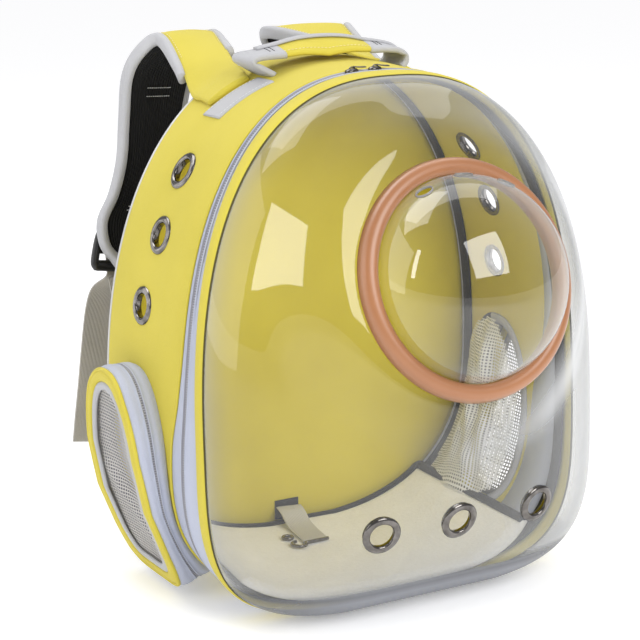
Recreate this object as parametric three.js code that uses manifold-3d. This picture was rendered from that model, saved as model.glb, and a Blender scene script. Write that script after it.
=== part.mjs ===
// A bubble pet carrier backpack: a soft fabric body with a clear plastic front, a clear
// half ball in a peach ring, mesh doors on both sides, a top handle and shoulder straps.
// Millimetres. X runs across, Y from the clear front to the wearer's back, Z up.
// The origin is on the ground, under the middle of the fabric body.

import * as THREE from 'three';
import { mergeVertices } from 'three/addons/utils/BufferGeometryUtils.js';
import Module from 'manifold-3d';

const wasm = await Module();
wasm.setup();

// Driving sizes of the fabric body.
const bodyDepth = 160;          // front rim to back wall at the ground
const rimLean = 21;             // the top of the front rim leans back by this
const frontHalfWidth = 165;
const frontHeight = 395;
const frontWaist = 141;         // height of the widest line of the front outline
const backHalfWidth = 169;
const backHeight = 399;
const backWaist = 140;
const baseCut = 1;              // the outlines dip this far below the ground and are cut flat
const clothWall = 3;
const zipInset = 1;             // the zip band lies this much lower than its neighbours
const gap = 0.3;                // clearance between pieces that touch

// Outline exponents: 2 is an ellipse, larger is squarer.
const frontOutline = {
  halfWidth: frontHalfWidth, height: frontHeight, waist: frontWaist, crown: 2.46, foot: 4.0,
};
const backOutline = {
  halfWidth: backHalfWidth, height: backHeight, waist: backWaist, crown: 2.25, foot: 2.4,
};

// Seams of the side, from the top down: the height is a share of the front height, the
// widths are shares of the body depth, measured from the front rim.
const seams = [
  { height: 1.00, rim: 0.130, coil: 0.162, rear: 0.195 },
  { height: 0.80, rim: 0.090, coil: 0.130, rear: 0.180 },
  { height: 0.55, rim: 0.072, coil: 0.130, rear: 0.190 },
  { height: 0.43, rim: 0.072, coil: 0.155, rear: 0.235 },
  { height: 0.33, rim: 0.075, coil: 0.195, rear: 0.310 },
  { height: 0.20, rim: 0.085, coil: 0.220, rear: 0.345 },
  { height: 0.00, rim: 0.095, coil: 0.230, rear: 0.360 },
];

// Clear shell.
const shellWall = 2;
const shellReach = 96;          // how far the nose stands in front of the rim
const shellInset = 1;           // the shell's edge stands this far inside the rim's face
const shellSideRound = 2.11;
const shellTopRound = 1.95;
const shellFootRound = 2;
const shellFootHeight = 160;    // the rounded foot of the shell ends at this height
const shellNoseHeight = 185;    // the crown of the shell closes in on this height

// Bubble in its ring.
const bubbleHeight = 260;       // height of the ring's centre
const seatProud = 2;            // the ring's seat stands this far out of the shell
const bubbleTilt = 20;          // degrees that the ring's face looks up
const bubbleRadius = 74;
const bubbleReach = 66;
const bubbleWall = 2;
const ringWidth = 13;
const ringProud = 10;
const seatBlend = 34;           // the shell blends from its flat seat over this width
const airHoleRadius = 6.5;
const airHoleRise = 21;
const airHoleSpread = 29;       // degrees between neighbouring air holes

// Eyelets.
const eyeletOuter = 14.7;
const eyeletInner = 9.2;
const eyeletProud = 1.7;
const eyeletLip = 1;            // thickness of the flange behind the wall
const eyeletSlack = 1.6;        // room behind the cloth, because the wall is curved
const shellEyeletSlack = 2.4;   // the same behind the shell
const eyeletWall = 0.8;         // wall of the barrel that passes through the hole
const frontEyeletHeight = 83;
const frontEyeletSpacing = 68;
const sideEyelets = [
  { height: 0.818, depth: 0.600 },
  { height: 0.701, depth: 0.595 },
  { height: 0.565, depth: 0.655 },
];

// Side doors.
const doorCentreHeight = 93;
const doorHalfHeight = 85;
const doorCentreShare = 0.665;  // along the depth, as a share from the front rim to the back
const doorHalfShare = 0.295;
const doorCrown = 2.3;          // outline exponents, as above
const doorFoot = 5.5;
const doorSeamRise = 10;        // at its foot the gusset is sewn on this much higher
const doorSeamBlend = 45;
const doorReach = 193;          // the door's face stands at most this far from the middle
// Face of the door: the height is a share of the door's highest point, x of its reach.
const doorFace = [
  { height: 0.000, x: 0.762 },
  { height: 0.112, x: 0.819 },
  { height: 0.225, x: 0.865 },
  { height: 0.421, x: 0.938 },
  { height: 0.646, x: 0.979 },
  { height: 0.899, x: 1.000 },
  { height: 1.120, x: 1.000 },
];
const gussetWall = 2.5;
const doorFrameWidth = 10;
const doorBindingWidth = 6;
const doorWall = 2.5;
const doorMeshWall = 1.2;
const doorOpeningInset = 7;
const seamLift = 1.3;           // the gusset's foot stays this far off the curved band

// Back wall, piping and tapes.
const backWall = 5;
const backPadInset = 24;
const backPadThickness = 11;
const pipingRadius = 2.2;
const tapeWidth = 12;
const tapeWall = 2;
const matWall = 6;
const matHalfLength = 142;      // half the mat's width, measured along the floor and walls
const matOverhang = 6;          // the middle of the mat's front edge passes the rim by this

// Handle.
const handleHalfSpan = 68;      // widest reach of the handle's folded ends
const handleRise = 17;          // ridge of the handle above the band
const handleDepth = 31;
const handleDroop = 8;
const handleWall = 3;
const handleY = 30;
const handleLean = 9;           // the soft handle leans this far to the left
const handleSeam = 1.5;         // room between the strap and its end patches
const handleEndShare = 0.42;    // length of a grey end patch, as a share of the half span

// Shoulder straps.
const strapWall = 4;
const strapLining = 5;
const strapBinding = 6.5;
const strapReach = 110;         // how far the straps stand behind the back wall
const barWidth = 29;
const barWall = 1.6;
const webbingWidth = 36;
const webbingWall = 1.8;
const buckleWidth = 54;
const buckleHeight = 34;
const buckleWall = 7;
const buckleShift = 6;          // the buckle sits this far towards the outer edge

// Leash.
const leashWidth = 22;
const leashWall = 2;
const leashLength = 58;
const leashWire = 1.5;
const leashRingRadius = 3.8;
const leashX = -12;
const tabWall = 3;
const tabHeight = 16;

// Zip sliders.
const sliderWidth = 6;
const sliderLength = 10;
const sliderHeight = 4;
const sliderPlaces = [{ name: 'left', x: -20 }, { name: 'right', x: 0 }];

// Fineness of the faceted surfaces.
const outlineSteps = 44;
const doorSteps = 24;
const eyeletSides = 12;
const ringSides = 24;

const colours = {
  yellow: 0xf0dc55,
  pale: 0xd3d5e0,
  black: 0x17171a,
  cream: 0xdcd7c8,
  clear: 0xe9eef0,
  peach: 0xdc9a74,
  metal: 0x8d8684,
  webbing: 0xaaa59e,
};

function material(colour, roughness, metalness, opacity) {
  return new THREE.MeshStandardMaterial({
    color: colour, roughness, metalness, opacity, transparent: opacity < 1,
  });
}

const yellowCloth = material(colours.yellow, 0.8, 0, 1);
const paleCloth = material(colours.pale, 0.75, 0, 1);
const blackCloth = material(colours.black, 0.9, 0, 1);
const creamCloth = material(colours.cream, 0.95, 0, 1);
const clearPlastic = material(colours.clear, 0.05, 0, 0.25);
const peachPlastic = material(colours.peach, 0.3, 0, 1);
const bareMetal = material(colours.metal, 0.3, 1, 1);
const blackPlastic = material(colours.black, 0.4, 0, 1);
const greyWebbing = material(colours.webbing, 0.8, 0, 1);

const carrier = new THREE.Group();

function addPiece(name, geometry, look) {
  const mesh = new THREE.Mesh(geometry, look);
  mesh.name = name;
  carrier.add(mesh);
  return mesh;
}

function vector(x, y, z) {
  return new THREE.Vector3(x, y, z);
}

function mix(a, b, share) {
  return a + (b - a) * share;
}

function smooth(share) {
  const t = Math.min(1, Math.max(0, share));
  return t * t * (3 - 2 * t);
}

// Closed bodies from loops of points

function bodyFromTriangles(points, triangles) {
  const geometry = new THREE.BufferGeometry();
  const positions = points.flatMap((p) => [p.x, p.y, p.z]);
  geometry.setAttribute('position', new THREE.Float32BufferAttribute(positions, 3));
  let volume = 0;
  for (const [a, b, c] of triangles) {
    volume += points[a].dot(points[b].clone().cross(points[c]));
  }
  const outward = volume > 0;
  geometry.setIndex(triangles.flatMap(([a, b, c]) => (outward ? [a, b, c] : [a, c, b])));
  geometry.computeVertexNormals();
  return geometry;
}

function loftTriangles(loops, closed) {
  const count = loops[0].length;
  const last = closed ? loops.length : loops.length - 1;
  const triangles = [];
  for (let row = 0; row < last; row += 1) {
    const low = row * count;
    const high = ((row + 1) % loops.length) * count;
    for (let i = 0; i < count; i += 1) {
      const j = (i + 1) % count;
      triangles.push([low + i, low + j, high + j], [low + i, high + j, high + i]);
    }
  }
  return triangles;
}

// A body whose loops follow each other round and close on the first, like a tyre.
function ringBody(loops) {
  return bodyFromTriangles(loops.flat(), loftTriangles(loops, true));
}

// A body whose first and last loops are closed by a fan.
function cappedBody(loops) {
  const points = loops.flat();
  const count = loops[0].length;
  const triangles = loftTriangles(loops, false);
  [0, loops.length - 1].forEach((row) => {
    const centre = loops[row].reduce((sum, p) => sum.add(p), vector(0, 0, 0));
    points.push(centre.divideScalar(count));
    const hub = points.length - 1;
    for (let i = 0; i < count; i += 1) {
      const a = row * count + i;
      const b = row * count + (i + 1) % count;
      triangles.push(row === 0 ? [hub, b, a] : [hub, a, b]);
    }
  });
  return bodyFromTriangles(points, triangles);
}

function toSolid(geometry) {
  const bare = geometry.clone();
  bare.deleteAttribute('normal');
  bare.deleteAttribute('uv');
  const merged = mergeVertices(bare, 1e-4);
  return new wasm.Manifold(new wasm.Mesh({
    numProp: 3,
    vertProperties: new Float32Array(merged.attributes.position.array),
    triVerts: new Uint32Array(merged.index.array),
  }));
}

function fromSolid(solid) {
  const mesh = solid.getMesh();
  const geometry = new THREE.BufferGeometry();
  geometry.setAttribute('position', new THREE.BufferAttribute(mesh.vertProperties, 3));
  geometry.setIndex(new THREE.BufferAttribute(mesh.triVerts, 1));
  geometry.computeVertexNormals();
  return geometry;
}

function cutAway(geometry, cutters) {
  let solid = toSolid(geometry);
  for (const cutter of cutters) {
    solid = solid.subtract(toSolid(cutter));
  }
  return fromSolid(solid);
}

// Turns a geometry so that its +Z looks along a direction, and moves it.
function placed(geometry, position, direction) {
  const turn = new THREE.Quaternion().setFromUnitVectors(vector(0, 0, 1), direction);
  const result = geometry.clone();
  result.applyQuaternion(turn);
  result.translate(position.x, position.y, position.z);
  return result;
}

// Lathe about Z: rows of [radius, height] that start and end on the axis or close on
// themselves.
function turned(profile, sides) {
  const points = profile.map(([r, h]) => new THREE.Vector2(r, h));
  const geometry = new THREE.LatheGeometry(points, sides);
  geometry.rotateX(Math.PI / 2);
  geometry.deleteAttribute('normal');
  geometry.deleteAttribute('uv');
  const merged = mergeVertices(geometry, 1e-4);
  const position = merged.attributes.position;
  const corners = [];
  for (let i = 0; i < position.count; i += 1) {
    corners.push(new THREE.Vector3().fromBufferAttribute(position, i));
  }
  const triangles = [];
  for (let i = 0; i < merged.index.count; i += 3) {
    const [a, b, c] = [0, 1, 2].map((k) => merged.index.getX(i + k));
    if (a !== b && b !== c && c !== a) triangles.push([a, b, c]);
  }
  return bodyFromTriangles(corners, triangles);
}

function disc(radius, low, high, sidesRound) {
  return turned([[0, low], [radius, low], [radius, high], [0, high]], sidesRound);
}

// Outlines

function outlinePoint(outline, angle, inset) {
  const c = Math.cos(angle);
  const s = Math.sin(angle);
  const exponent = 2 / (s >= 0 ? outline.crown : outline.foot);
  const x = (outline.halfWidth - inset) * Math.sign(c) * Math.abs(c) ** exponent;
  if (s >= 0) {
    return [x, outline.waist + (outline.height - inset - outline.waist) * s ** exponent];
  }
  const drop = (outline.waist + baseCut - inset) * Math.abs(s) ** exponent;
  return [x, Math.max(inset, outline.waist - drop)];
}

// Angles that cut a closed outline into equal lengths, from its lowest point round.
function equalAngles(count, pointAt) {
  const fine = count * 40;
  const lengths = [0];
  const angleAt = (k) => -Math.PI / 2 + (2 * Math.PI * k) / fine;
  for (let k = 1; k <= fine; k += 1) {
    const [x0, z0] = pointAt(angleAt(k - 1));
    const [x1, z1] = pointAt(angleAt(k));
    lengths.push(lengths[k - 1] + Math.hypot(x1 - x0, z1 - z0));
  }
  const angles = [];
  let k = 0;
  for (let i = 0; i < count; i += 1) {
    const target = (lengths[fine] * i) / count;
    while (lengths[k + 1] < target) k += 1;
    angles.push(angleAt(k + (target - lengths[k]) / (lengths[k + 1] - lengths[k])));
  }
  return angles;
}

const outlineAngles = equalAngles(outlineSteps, (angle) => outlinePoint(frontOutline, angle, 0));

// A point of the fabric body: share 0 is the front rim, share 1 the back edge.
function bandPoint(angle, share, inset) {
  const [fx, fz] = outlinePoint(frontOutline, angle, inset);
  const [bx, bz] = outlinePoint(backOutline, angle, inset);
  const frontY = -bodyDepth / 2 + (rimLean * fz) / frontHeight;
  return vector(mix(fx, bx, share), mix(frontY, bodyDepth / 2, share), mix(fz, bz, share));
}

function bandNormal(angle, share) {
  const step = 0.01;
  const along = bandPoint(angle + step, share, 0).sub(bandPoint(angle - step, share, 0));
  const back = bandPoint(angle, share + step, 0).sub(bandPoint(angle, share - step, 0));
  return back.cross(along).normalize();
}

// Angle of the side point at a height, on the +X side.
function angleAtHeight(height, share) {
  let low = -Math.PI / 2;
  let high = Math.PI / 2;
  for (let i = 0; i < 40; i += 1) {
    const middle = (low + high) / 2;
    if (bandPoint(middle, share, 0).z < height) low = middle;
    else high = middle;
  }
  return (low + high) / 2;
}

// Angle of the upper side point at a distance x from the middle, on the +X side.
function angleAtWidth(x, share) {
  let low = 0;
  let high = Math.PI / 2;
  for (let i = 0; i < 40; i += 1) {
    const middle = (low + high) / 2;
    if (bandPoint(middle, share, 0).x > x) low = middle;
    else high = middle;
  }
  return (low + high) / 2;
}

function seamShare(angle, column) {
  const height = outlinePoint(frontOutline, angle, 0)[1] / frontHeight;
  const below = Math.max(1, seams.findIndex((row) => row.height <= height));
  const upper = seams[below - 1];
  const lower = seams[below];
  const t = smooth((height - lower.height) / (upper.height - lower.height));
  return mix(lower[column], upper[column], t);
}

// A closed strip of the body between two shares, each a function of the angle.
function bandStrip(startAt, endAt, outerInset, wall) {
  const loop = (edgeAt, inset) => outlineAngles.map((angle) => (
    bandPoint(angle, edgeAt(angle), inset)));
  const innerInset = outerInset + wall;
  return ringBody([
    loop(startAt, outerInset), loop(endAt, outerInset),
    loop(endAt, innerInset), loop(startAt, innerInset),
  ]);
}

const shareGap = gap / bodyDepth;
const onRim = (angle) => seamShare(angle, 'rim');
const onRear = (angle) => seamShare(angle, 'rear');
const plus = (line, extra) => (angle) => line(angle) + extra;
const fixed = (share) => () => share;

// Eyelets

// A spool: a flange outside, a barrel through the wall and a smaller flange inside.
// Height 0 is the outside face of the wall.
function eyeletBody(wall, slack) {
  const back = -wall - slack;
  const barrel = eyeletInner + eyeletWall;
  const backOuter = mix(barrel, eyeletOuter, 0.7);
  return turned([
    [eyeletInner, back - eyeletLip],
    [backOuter, back - eyeletLip],
    [backOuter, back],
    [barrel, back],
    [barrel, gap],
    [eyeletOuter, gap],
    [mix(eyeletInner, eyeletOuter, 0.5), gap + eyeletProud],
    [eyeletInner, gap + eyeletProud * 0.4],
    [eyeletInner, back - eyeletLip],
  ], eyeletSides);
}

// The hole that an eyelet's barrel passes through.
function eyeletHole(wall) {
  return disc(eyeletInner + eyeletWall + gap, -wall * 3, wall * 3, eyeletSides);
}

const mirrorX = (v, side) => vector(v.x * side, v.y, v.z);
const sides = [{ name: 'left', side: -1 }, { name: 'right', side: 1 }];

const sideEyeletPlaces = sideEyelets.map(({ height, depth }) => {
  const angle = angleAtHeight(height * frontHeight, depth);
  return { point: bandPoint(angle, depth, 0), normal: bandNormal(angle, depth) };
});

// Side doors

// Place of a door's edge: round is the angle round the door, shrink a distance inwards.
function doorPlace(round, shrink) {
  const squareness = 2 / (Math.sin(round) > 0 ? doorCrown : doorFoot);
  const c = Math.cos(round);
  const s = Math.sin(round);
  const halfShare = doorHalfShare - shrink / bodyDepth;
  const halfHeight = doorHalfHeight - shrink;
  return {
    share: doorCentreShare + halfShare * Math.sign(c) * Math.abs(c) ** squareness,
    height: doorCentreHeight + halfHeight * Math.sign(s) * Math.abs(s) ** squareness,
  };
}

const doorRounds = equalAngles(doorSteps, (round) => {
  const { share, height } = doorPlace(round, 0);
  return [share * bodyDepth, height];
});

// A point on the band, out a distance from it.
function seamPoint(round, shrink, out, side) {
  const { share, height } = doorPlace(round, shrink);
  const aboveFoot = height - (doorCentreHeight - doorHalfHeight);
  const rise = doorSeamRise * (1 - smooth(aboveFoot / doorSeamBlend));
  const angle = angleAtHeight(height + rise, share);
  const point = bandPoint(angle, share, 0).addScaledVector(bandNormal(angle, share), out);
  return mirrorX(point, side);
}

// A point of the door itself, out a distance from its inner face.
function facePoint(round, shrink, out, side) {
  const { share, height } = doorPlace(round, shrink);
  const raised = height / (doorCentreHeight + doorHalfHeight);
  const above = Math.max(1, doorFace.findIndex((row) => row.height > raised));
  const [lower, upper] = [doorFace[above - 1], doorFace[above]];
  const t = (raised - lower.height) / (upper.height - lower.height);
  const x = doorReach * mix(lower.x, upper.x, t);
  const { y } = bandPoint(angleAtHeight(height, share), share, 0);
  return vector((x + out) * side, y, height);
}

function doorLoop(pointAt, shrink, out, side) {
  return doorRounds.map((round) => pointAt(round, shrink, out, side));
}

function doorRing(outerShrink, innerShrink, low, high, side) {
  return ringBody([
    doorLoop(facePoint, outerShrink, low, side), doorLoop(facePoint, outerShrink, high, side),
    doorLoop(facePoint, innerShrink, high, side), doorLoop(facePoint, innerShrink, low, side),
  ]);
}

function gussetRing(side) {
  return ringBody([
    doorLoop(seamPoint, 0, seamLift, side), doorLoop(facePoint, 0, -gap, side),
    doorLoop(facePoint, gussetWall, -gap, side), doorLoop(seamPoint, gussetWall, seamLift, side),
  ]);
}

// A plate inside the door's outline that follows the curve that pointAt describes.
function doorPlate(pointAt, shrink, low, high, side) {
  const inset = shrink + (doorHalfShare * bodyDepth - shrink) * 0.75;
  return cappedBody([
    doorLoop(pointAt, inset, low, side), doorLoop(pointAt, shrink, low, side),
    doorLoop(pointAt, shrink, high, side), doorLoop(pointAt, inset, high, side),
  ]);
}

// Fabric body

addPiece('front_rim', bandStrip(fixed(0), onRim, 0, clothWall), yellowCloth);
addPiece(
  'zip_band',
  bandStrip(plus(onRim, shareGap), onRear, zipInset, clothWall),
  paleCloth,
);

const bandCutters = [];
for (const { side } of sides) {
  for (const { point, normal } of sideEyeletPlaces) {
    bandCutters.push(
      placed(eyeletHole(clothWall), mirrorX(point, side), mirrorX(normal, side)),
    );
  }
  bandCutters.push(
    doorPlate(seamPoint, doorOpeningInset, -clothWall * 3, clothWall * 3, side),
  );
}
const sideStrip = bandStrip(plus(onRear, shareGap), fixed(1), 0, clothWall);
addPiece('side_band', cutAway(sideStrip, bandCutters), yellowCloth);

for (const { name, side } of sides) {
  sideEyeletPlaces.forEach(({ point, normal }, i) => {
    const eyelet = placed(eyeletBody(clothWall, eyeletSlack), mirrorX(point, side), mirrorX(normal, side));
    addPiece(`side_eyelet_${name}_${i + 1}`, eyelet, bareMetal);
  });
}

// Back wall: a padded panel, its piping and the pad towards the wearer.
const backPlane = bodyDepth / 2 + gap;

function backLoop(inset, y) {
  return outlineAngles.map((angle) => {
    const [x, z] = outlinePoint(backOutline, angle, inset);
    return vector(x, y, z);
  });
}

addPiece(
  'back_panel',
  cappedBody([
    backLoop(pipingRadius * 2 + gap, backPlane),
    backLoop(pipingRadius * 2 + gap, backPlane + backWall),
  ]),
  yellowCloth,
);
addPiece(
  'back_piping',
  ringBody([
    backLoop(0, backPlane), backLoop(0, backPlane + pipingRadius * 2),
    backLoop(pipingRadius * 2, backPlane + pipingRadius * 2),
    backLoop(pipingRadius * 2, backPlane),
  ]),
  paleCloth,
);
const padPlane = backPlane + backWall + gap;
addPiece(
  'back_pad',
  cappedBody([
    backLoop(backPadInset, padPlane),
    backLoop(backPadInset, padPlane + backPadThickness * 0.5),
    backLoop(backPadInset * 1.3, padPlane + backPadThickness),
  ]),
  blackCloth,
);

// Black tapes over the inner seams.
const innerFace = clothWall + zipInset + gap;
const tapeShare = tapeWidth / bodyDepth;
addPiece(
  'inner_binding_front',
  bandStrip(plus(onRim, -tapeShare / 2), plus(onRim, tapeShare / 2), innerFace, tapeWall),
  blackCloth,
);
addPiece(
  'inner_binding_back',
  bandStrip(fixed(1 - tapeShare), fixed(1), clothWall + gap, tapeWall),
  blackCloth,
);

// Floor mat: a plate over the floor that follows the facets of the walls up a little.
const matUnder = innerFace + tapeWall + gap;
const outlineLength = outlineAngles.reduce((sum, angle, i) => {
  const [x0, z0] = outlinePoint(frontOutline, angle, 0);
  const [x1, z1] = outlinePoint(frontOutline, outlineAngles[(i + 1) % outlineSteps], 0);
  return sum + Math.hypot(x1 - x0, z1 - z0);
}, 0);
const matReach = (matHalfLength * outlineSteps) / outlineLength;
const matShares = [0, 0.3, 0.65, 1];
const matWhole = Math.floor(matReach);
const matSteps = [-matReach];
for (let k = -matWhole; k <= matWhole; k += 1) {
  matSteps.push(k);
}
matSteps.push(matReach);

function facetPoint(step, share, inset) {
  const low = Math.floor(step);
  const angleAt = (k) => outlineAngles[(k + outlineSteps) % outlineSteps];
  const a = bandPoint(angleAt(low), share, inset);
  return a.lerp(bandPoint(angleAt(low + 1), share, inset), step - low);
}

// A section of the mat from front to back, at a step along the outline.
function matSection(step) {
  const sideways = Math.abs(step) / matReach;
  const start = mix(-matOverhang / bodyDepth, seams[seams.length - 1].rim, sideways ** 2);
  const shares = matShares.map((t) => mix(start, 1 - tapeShare * 0.2, t));
  const under = shares.map((share) => facetPoint(step, share, matUnder));
  const over = shares.map((share) => facetPoint(step, share, matUnder + matWall));
  return [...under, ...over.reverse()];
}

addPiece('floor_mat', cappedBody(matSteps.map(matSection)), creamCloth);

// Clear shell

const bubbleAxis = vector(
  0,
  -Math.cos(THREE.MathUtils.degToRad(bubbleTilt)),
  Math.sin(THREE.MathUtils.degToRad(bubbleTilt)),
);

// A point of the shell: turn 0 is at the rim, 90 degrees at the nose.
function shellPoint(angle, turn, inset) {
  const forward = Math.sin(turn);
  const narrow = (round) => Math.max(0, 1 - forward ** round) ** (1 / round);
  const [x, z] = outlinePoint(frontOutline, angle, shellInset + inset);
  const foot = inset + (shellFootHeight - inset) * (1 - narrow(shellFootRound));
  const crown = mix(shellNoseHeight, Math.max(z, frontWaist), narrow(shellTopRound));
  const low = (frontWaist - z) / (frontWaist - inset - shellInset);
  const height = mix(crown, foot, Math.max(0, low));
  const rimY = -bodyDepth / 2 + (rimLean * height) / frontHeight - gap;
  return vector(x * narrow(shellSideRound), rimY - (shellReach - inset) * forward, height);
}

// The nose line at a height, found by stepping the turn at the middle of the crown.
function nosePoint(height) {
  let low = 0;
  let high = Math.PI / 2;
  for (let i = 0; i < 40; i += 1) {
    const middle = (low + high) / 2;
    if (shellPoint(Math.PI / 2, middle, 0).z > height) low = middle;
    else high = middle;
  }
  return shellPoint(Math.PI / 2, (low + high) / 2, 0);
}

const ringOuter = bubbleRadius + ringWidth;
const seatPoint = nosePoint(bubbleHeight).addScaledVector(bubbleAxis, seatProud);

// Near the ring the shell is pressed into a flat seat.
function seated(point, inset) {
  const offset = point.clone().sub(seatPoint);
  const rise = offset.dot(bubbleAxis);
  const away = offset.addScaledVector(bubbleAxis, -rise).length();
  const press = 1 - smooth((away - ringOuter) / seatBlend);
  return point.clone().addScaledVector(bubbleAxis, (-inset - rise) * press);
}

const shellTurns = [0, 18, 34, 48, 61, 72, 81].map(THREE.MathUtils.degToRad);

function shellSkin(inset) {
  return shellTurns.map((turn) => outlineAngles.map((angle) => (
    seated(shellPoint(angle, turn, inset), inset))));
}

function shellBody() {
  const outer = shellSkin(0);
  const inner = shellSkin(shellWall);
  const loops = [...outer.reverse(), ...inner];
  return cappedBody(loops);
}

const frontEyeletPlaces = [-1, 0, 1].map((k) => {
  const x = k * frontEyeletSpacing;
  let best = null;
  for (let i = 0; i < 400; i += 1) {
    for (let j = 0; j < 60; j += 1) {
      const angle = -Math.PI + (Math.PI * i) / 400;
      const turn = (Math.PI / 2) * (j / 60);
      const point = shellPoint(angle, turn, 0);
      const miss = Math.hypot(point.x - x, point.z - frontEyeletHeight);
      if (!best || miss < best.miss) best = { miss, angle, turn, point };
    }
  }
  const step = 0.01;
  const along = shellPoint(best.angle + step, best.turn, 0)
    .sub(shellPoint(best.angle - step, best.turn, 0));
  const forward = shellPoint(best.angle, best.turn + step, 0)
    .sub(shellPoint(best.angle, best.turn - step, 0));
  const normal = along.cross(forward).normalize();
  if (normal.y > 0) normal.negate();
  return { point: best.point, normal };
});

const shellCutters = [
  placed(disc(bubbleRadius - bubbleWall - gap, -40, 40, ringSides), seatPoint, bubbleAxis),
  placed(disc(ringOuter + gap, 0, 40, ringSides), seatPoint, bubbleAxis),
];
for (const { point, normal } of frontEyeletPlaces) {
  shellCutters.push(placed(eyeletHole(shellWall * 2), point, normal));
}
addPiece('clear_shell', cutAway(shellBody(), shellCutters), clearPlastic);

frontEyeletPlaces.forEach(({ point, normal }, i) => {
  addPiece(`front_eyelet_${i + 1}`, placed(eyeletBody(shellWall, shellEyeletSlack), point, normal), bareMetal);
});

// Bubble: a clear half ball that stands on the seat, held by the ring.
function bubbleProfile() {
  const steps = 5;
  const arc = (radius, reach) => Array.from({ length: steps + 1 }, (_, i) => {
    const a = (Math.PI / 2) * (i / steps);
    return [radius * Math.cos(a), gap + reach * Math.sin(a)];
  });
  const outer = arc(bubbleRadius - gap, bubbleReach);
  const inner = arc(bubbleRadius - gap - bubbleWall, bubbleReach - bubbleWall);
  outer[steps][0] = 0;
  inner[steps][0] = 0;
  return [...inner.reverse(), ...outer];
}

const holeCutters = [-1, 0, 1].map((k) => {
  const clock = THREE.MathUtils.degToRad(90 + k * airHoleSpread);
  const rise = Math.asin(airHoleRise / bubbleReach);
  const out = vector(
    Math.cos(clock) * Math.cos(rise), Math.sin(clock) * Math.cos(rise), Math.sin(rise),
  );
  const place = vector(out.x * bubbleRadius, out.y * bubbleRadius, out.z * bubbleReach);
  return placed(disc(airHoleRadius, -8, 8, 12), place, out);
});
const dome = cutAway(turned(bubbleProfile(), ringSides), holeCutters);
const turnToFront = new THREE.Matrix4().makeRotationX(
  THREE.MathUtils.degToRad(90 - bubbleTilt),
);
dome.applyMatrix4(turnToFront);
dome.translate(seatPoint.x, seatPoint.y, seatPoint.z);
addPiece('bubble_dome', dome, clearPlastic);

const ringProfile = [
  [bubbleRadius, gap], [ringOuter, gap], [ringOuter, ringProud * 0.6],
  [ringOuter - ringWidth * 0.25, ringProud], [bubbleRadius + ringWidth * 0.3, ringProud * 1.05],
  [bubbleRadius, ringProud * 0.7], [bubbleRadius, gap],
];
const ring = turned(ringProfile, ringSides);
ring.applyMatrix4(turnToFront);
ring.translate(seatPoint.x, seatPoint.y, seatPoint.z);
addPiece('bubble_ring', ring, peachPlastic);

// Side doors on their gussets

for (const { name, side } of sides) {
  const bindingAt = doorFrameWidth + gap;
  const meshAt = bindingAt + doorBindingWidth + gap;
  const meshLow = (doorWall - doorMeshWall) / 2;
  addPiece(`door_gusset_${name}`, gussetRing(side), paleCloth);
  addPiece(`door_frame_${name}`, doorRing(0, doorFrameWidth, 0, doorWall, side), yellowCloth);
  addPiece(
    `door_binding_${name}`,
    doorRing(bindingAt, bindingAt + doorBindingWidth, 0, doorWall, side),
    paleCloth,
  );
  addPiece(
    `door_mesh_${name}`,
    doorPlate(facePoint, meshAt, meshLow, meshLow + doorMeshWall, side),
    paleCloth,
  );
}

// Handle: a folded strap whose ridge runs across the top, with grey end patches.
// Half of its run, from the middle out: shares of the half span and of the rise.
const handleRun = [
  { x: 0.00, z: 1.00 },
  { x: 0.30, z: 0.97 },
  { x: 0.58, z: 0.87 },
  { x: 0.80, z: 0.80 },
  { x: 0.94, z: 0.72 },
  { x: 1.00, z: 0.58 },
  { x: 0.95, z: 0.42 },
  { x: 0.86, z: 0.26 },
];
const handleShare = (handleY + bodyDepth / 2) / bodyDepth;
const handleTop = bandPoint(Math.PI / 2, handleShare, 0).z;

function handleSections(rows) {
  return rows.map(({ x, z }, i) => {
    const before = rows[Math.max(0, i - 1)];
    const after = rows[Math.min(rows.length - 1, i + 1)];
    const run = vector(after.x - before.x, 0, after.z - before.z).normalize();
    const up = vector(-run.z, 0, run.x);
    const fold = handleDroop * Math.max(0, 1 - Math.abs(x) / handleHalfSpan);
    const lean = handleLean * smooth((z - handleFoot) / handleRise);
    const at = (y, lift) => vector(x - lean, handleY + y, z).addScaledVector(up, lift);
    return [
      at(-handleDepth / 2, -fold), at(0, 0), at(handleDepth / 2, -fold),
      at(handleDepth / 2, -fold - handleWall), at(0, -handleWall),
      at(-handleDepth / 2, -fold - handleWall),
    ];
  });
}

// The foot clears the highest part of the band that lies under it.
const handleFootRow = handleRun[handleRun.length - 1];
const handleFoot = gap + Math.max(...[-0.5, 0, 0.5].map((part) => {
  const share = handleShare + (part * handleDepth) / bodyDepth;
  return bandPoint(angleAtWidth(handleHalfSpan * handleFootRow.x, share), share, 0).z;
}));
const handleHalf = handleRun.map(({ x, z }) => ({
  x: handleHalfSpan * x,
  z: mix(handleFoot, handleTop + handleRise, (z - handleFootRow.z) / (1 - handleFootRow.z)),
}));
const endRows = handleHalf.findIndex(({ x }) => x >= handleHalfSpan * (1 - handleEndShare));
const middleHalf = handleHalf.slice(0, endRows + 1);
const mirrored = (rows) => rows.map(({ x, z }) => ({ x: -x, z }));
addPiece(
  'handle_strap',
  cappedBody(handleSections([...mirrored(middleHalf).reverse(), ...middleHalf.slice(1)])),
  yellowCloth,
);
for (const { name, side } of sides) {
  const rows = handleHalf.slice(endRows);
  rows[0] = { x: rows[0].x + handleSeam, z: rows[0].z };
  const run = side < 0 ? mirrored(rows).reverse() : rows;
  addPiece(`handle_end_${name}`, cappedBody(handleSections(run)), paleCloth);
}

// Shoulder straps

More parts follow.
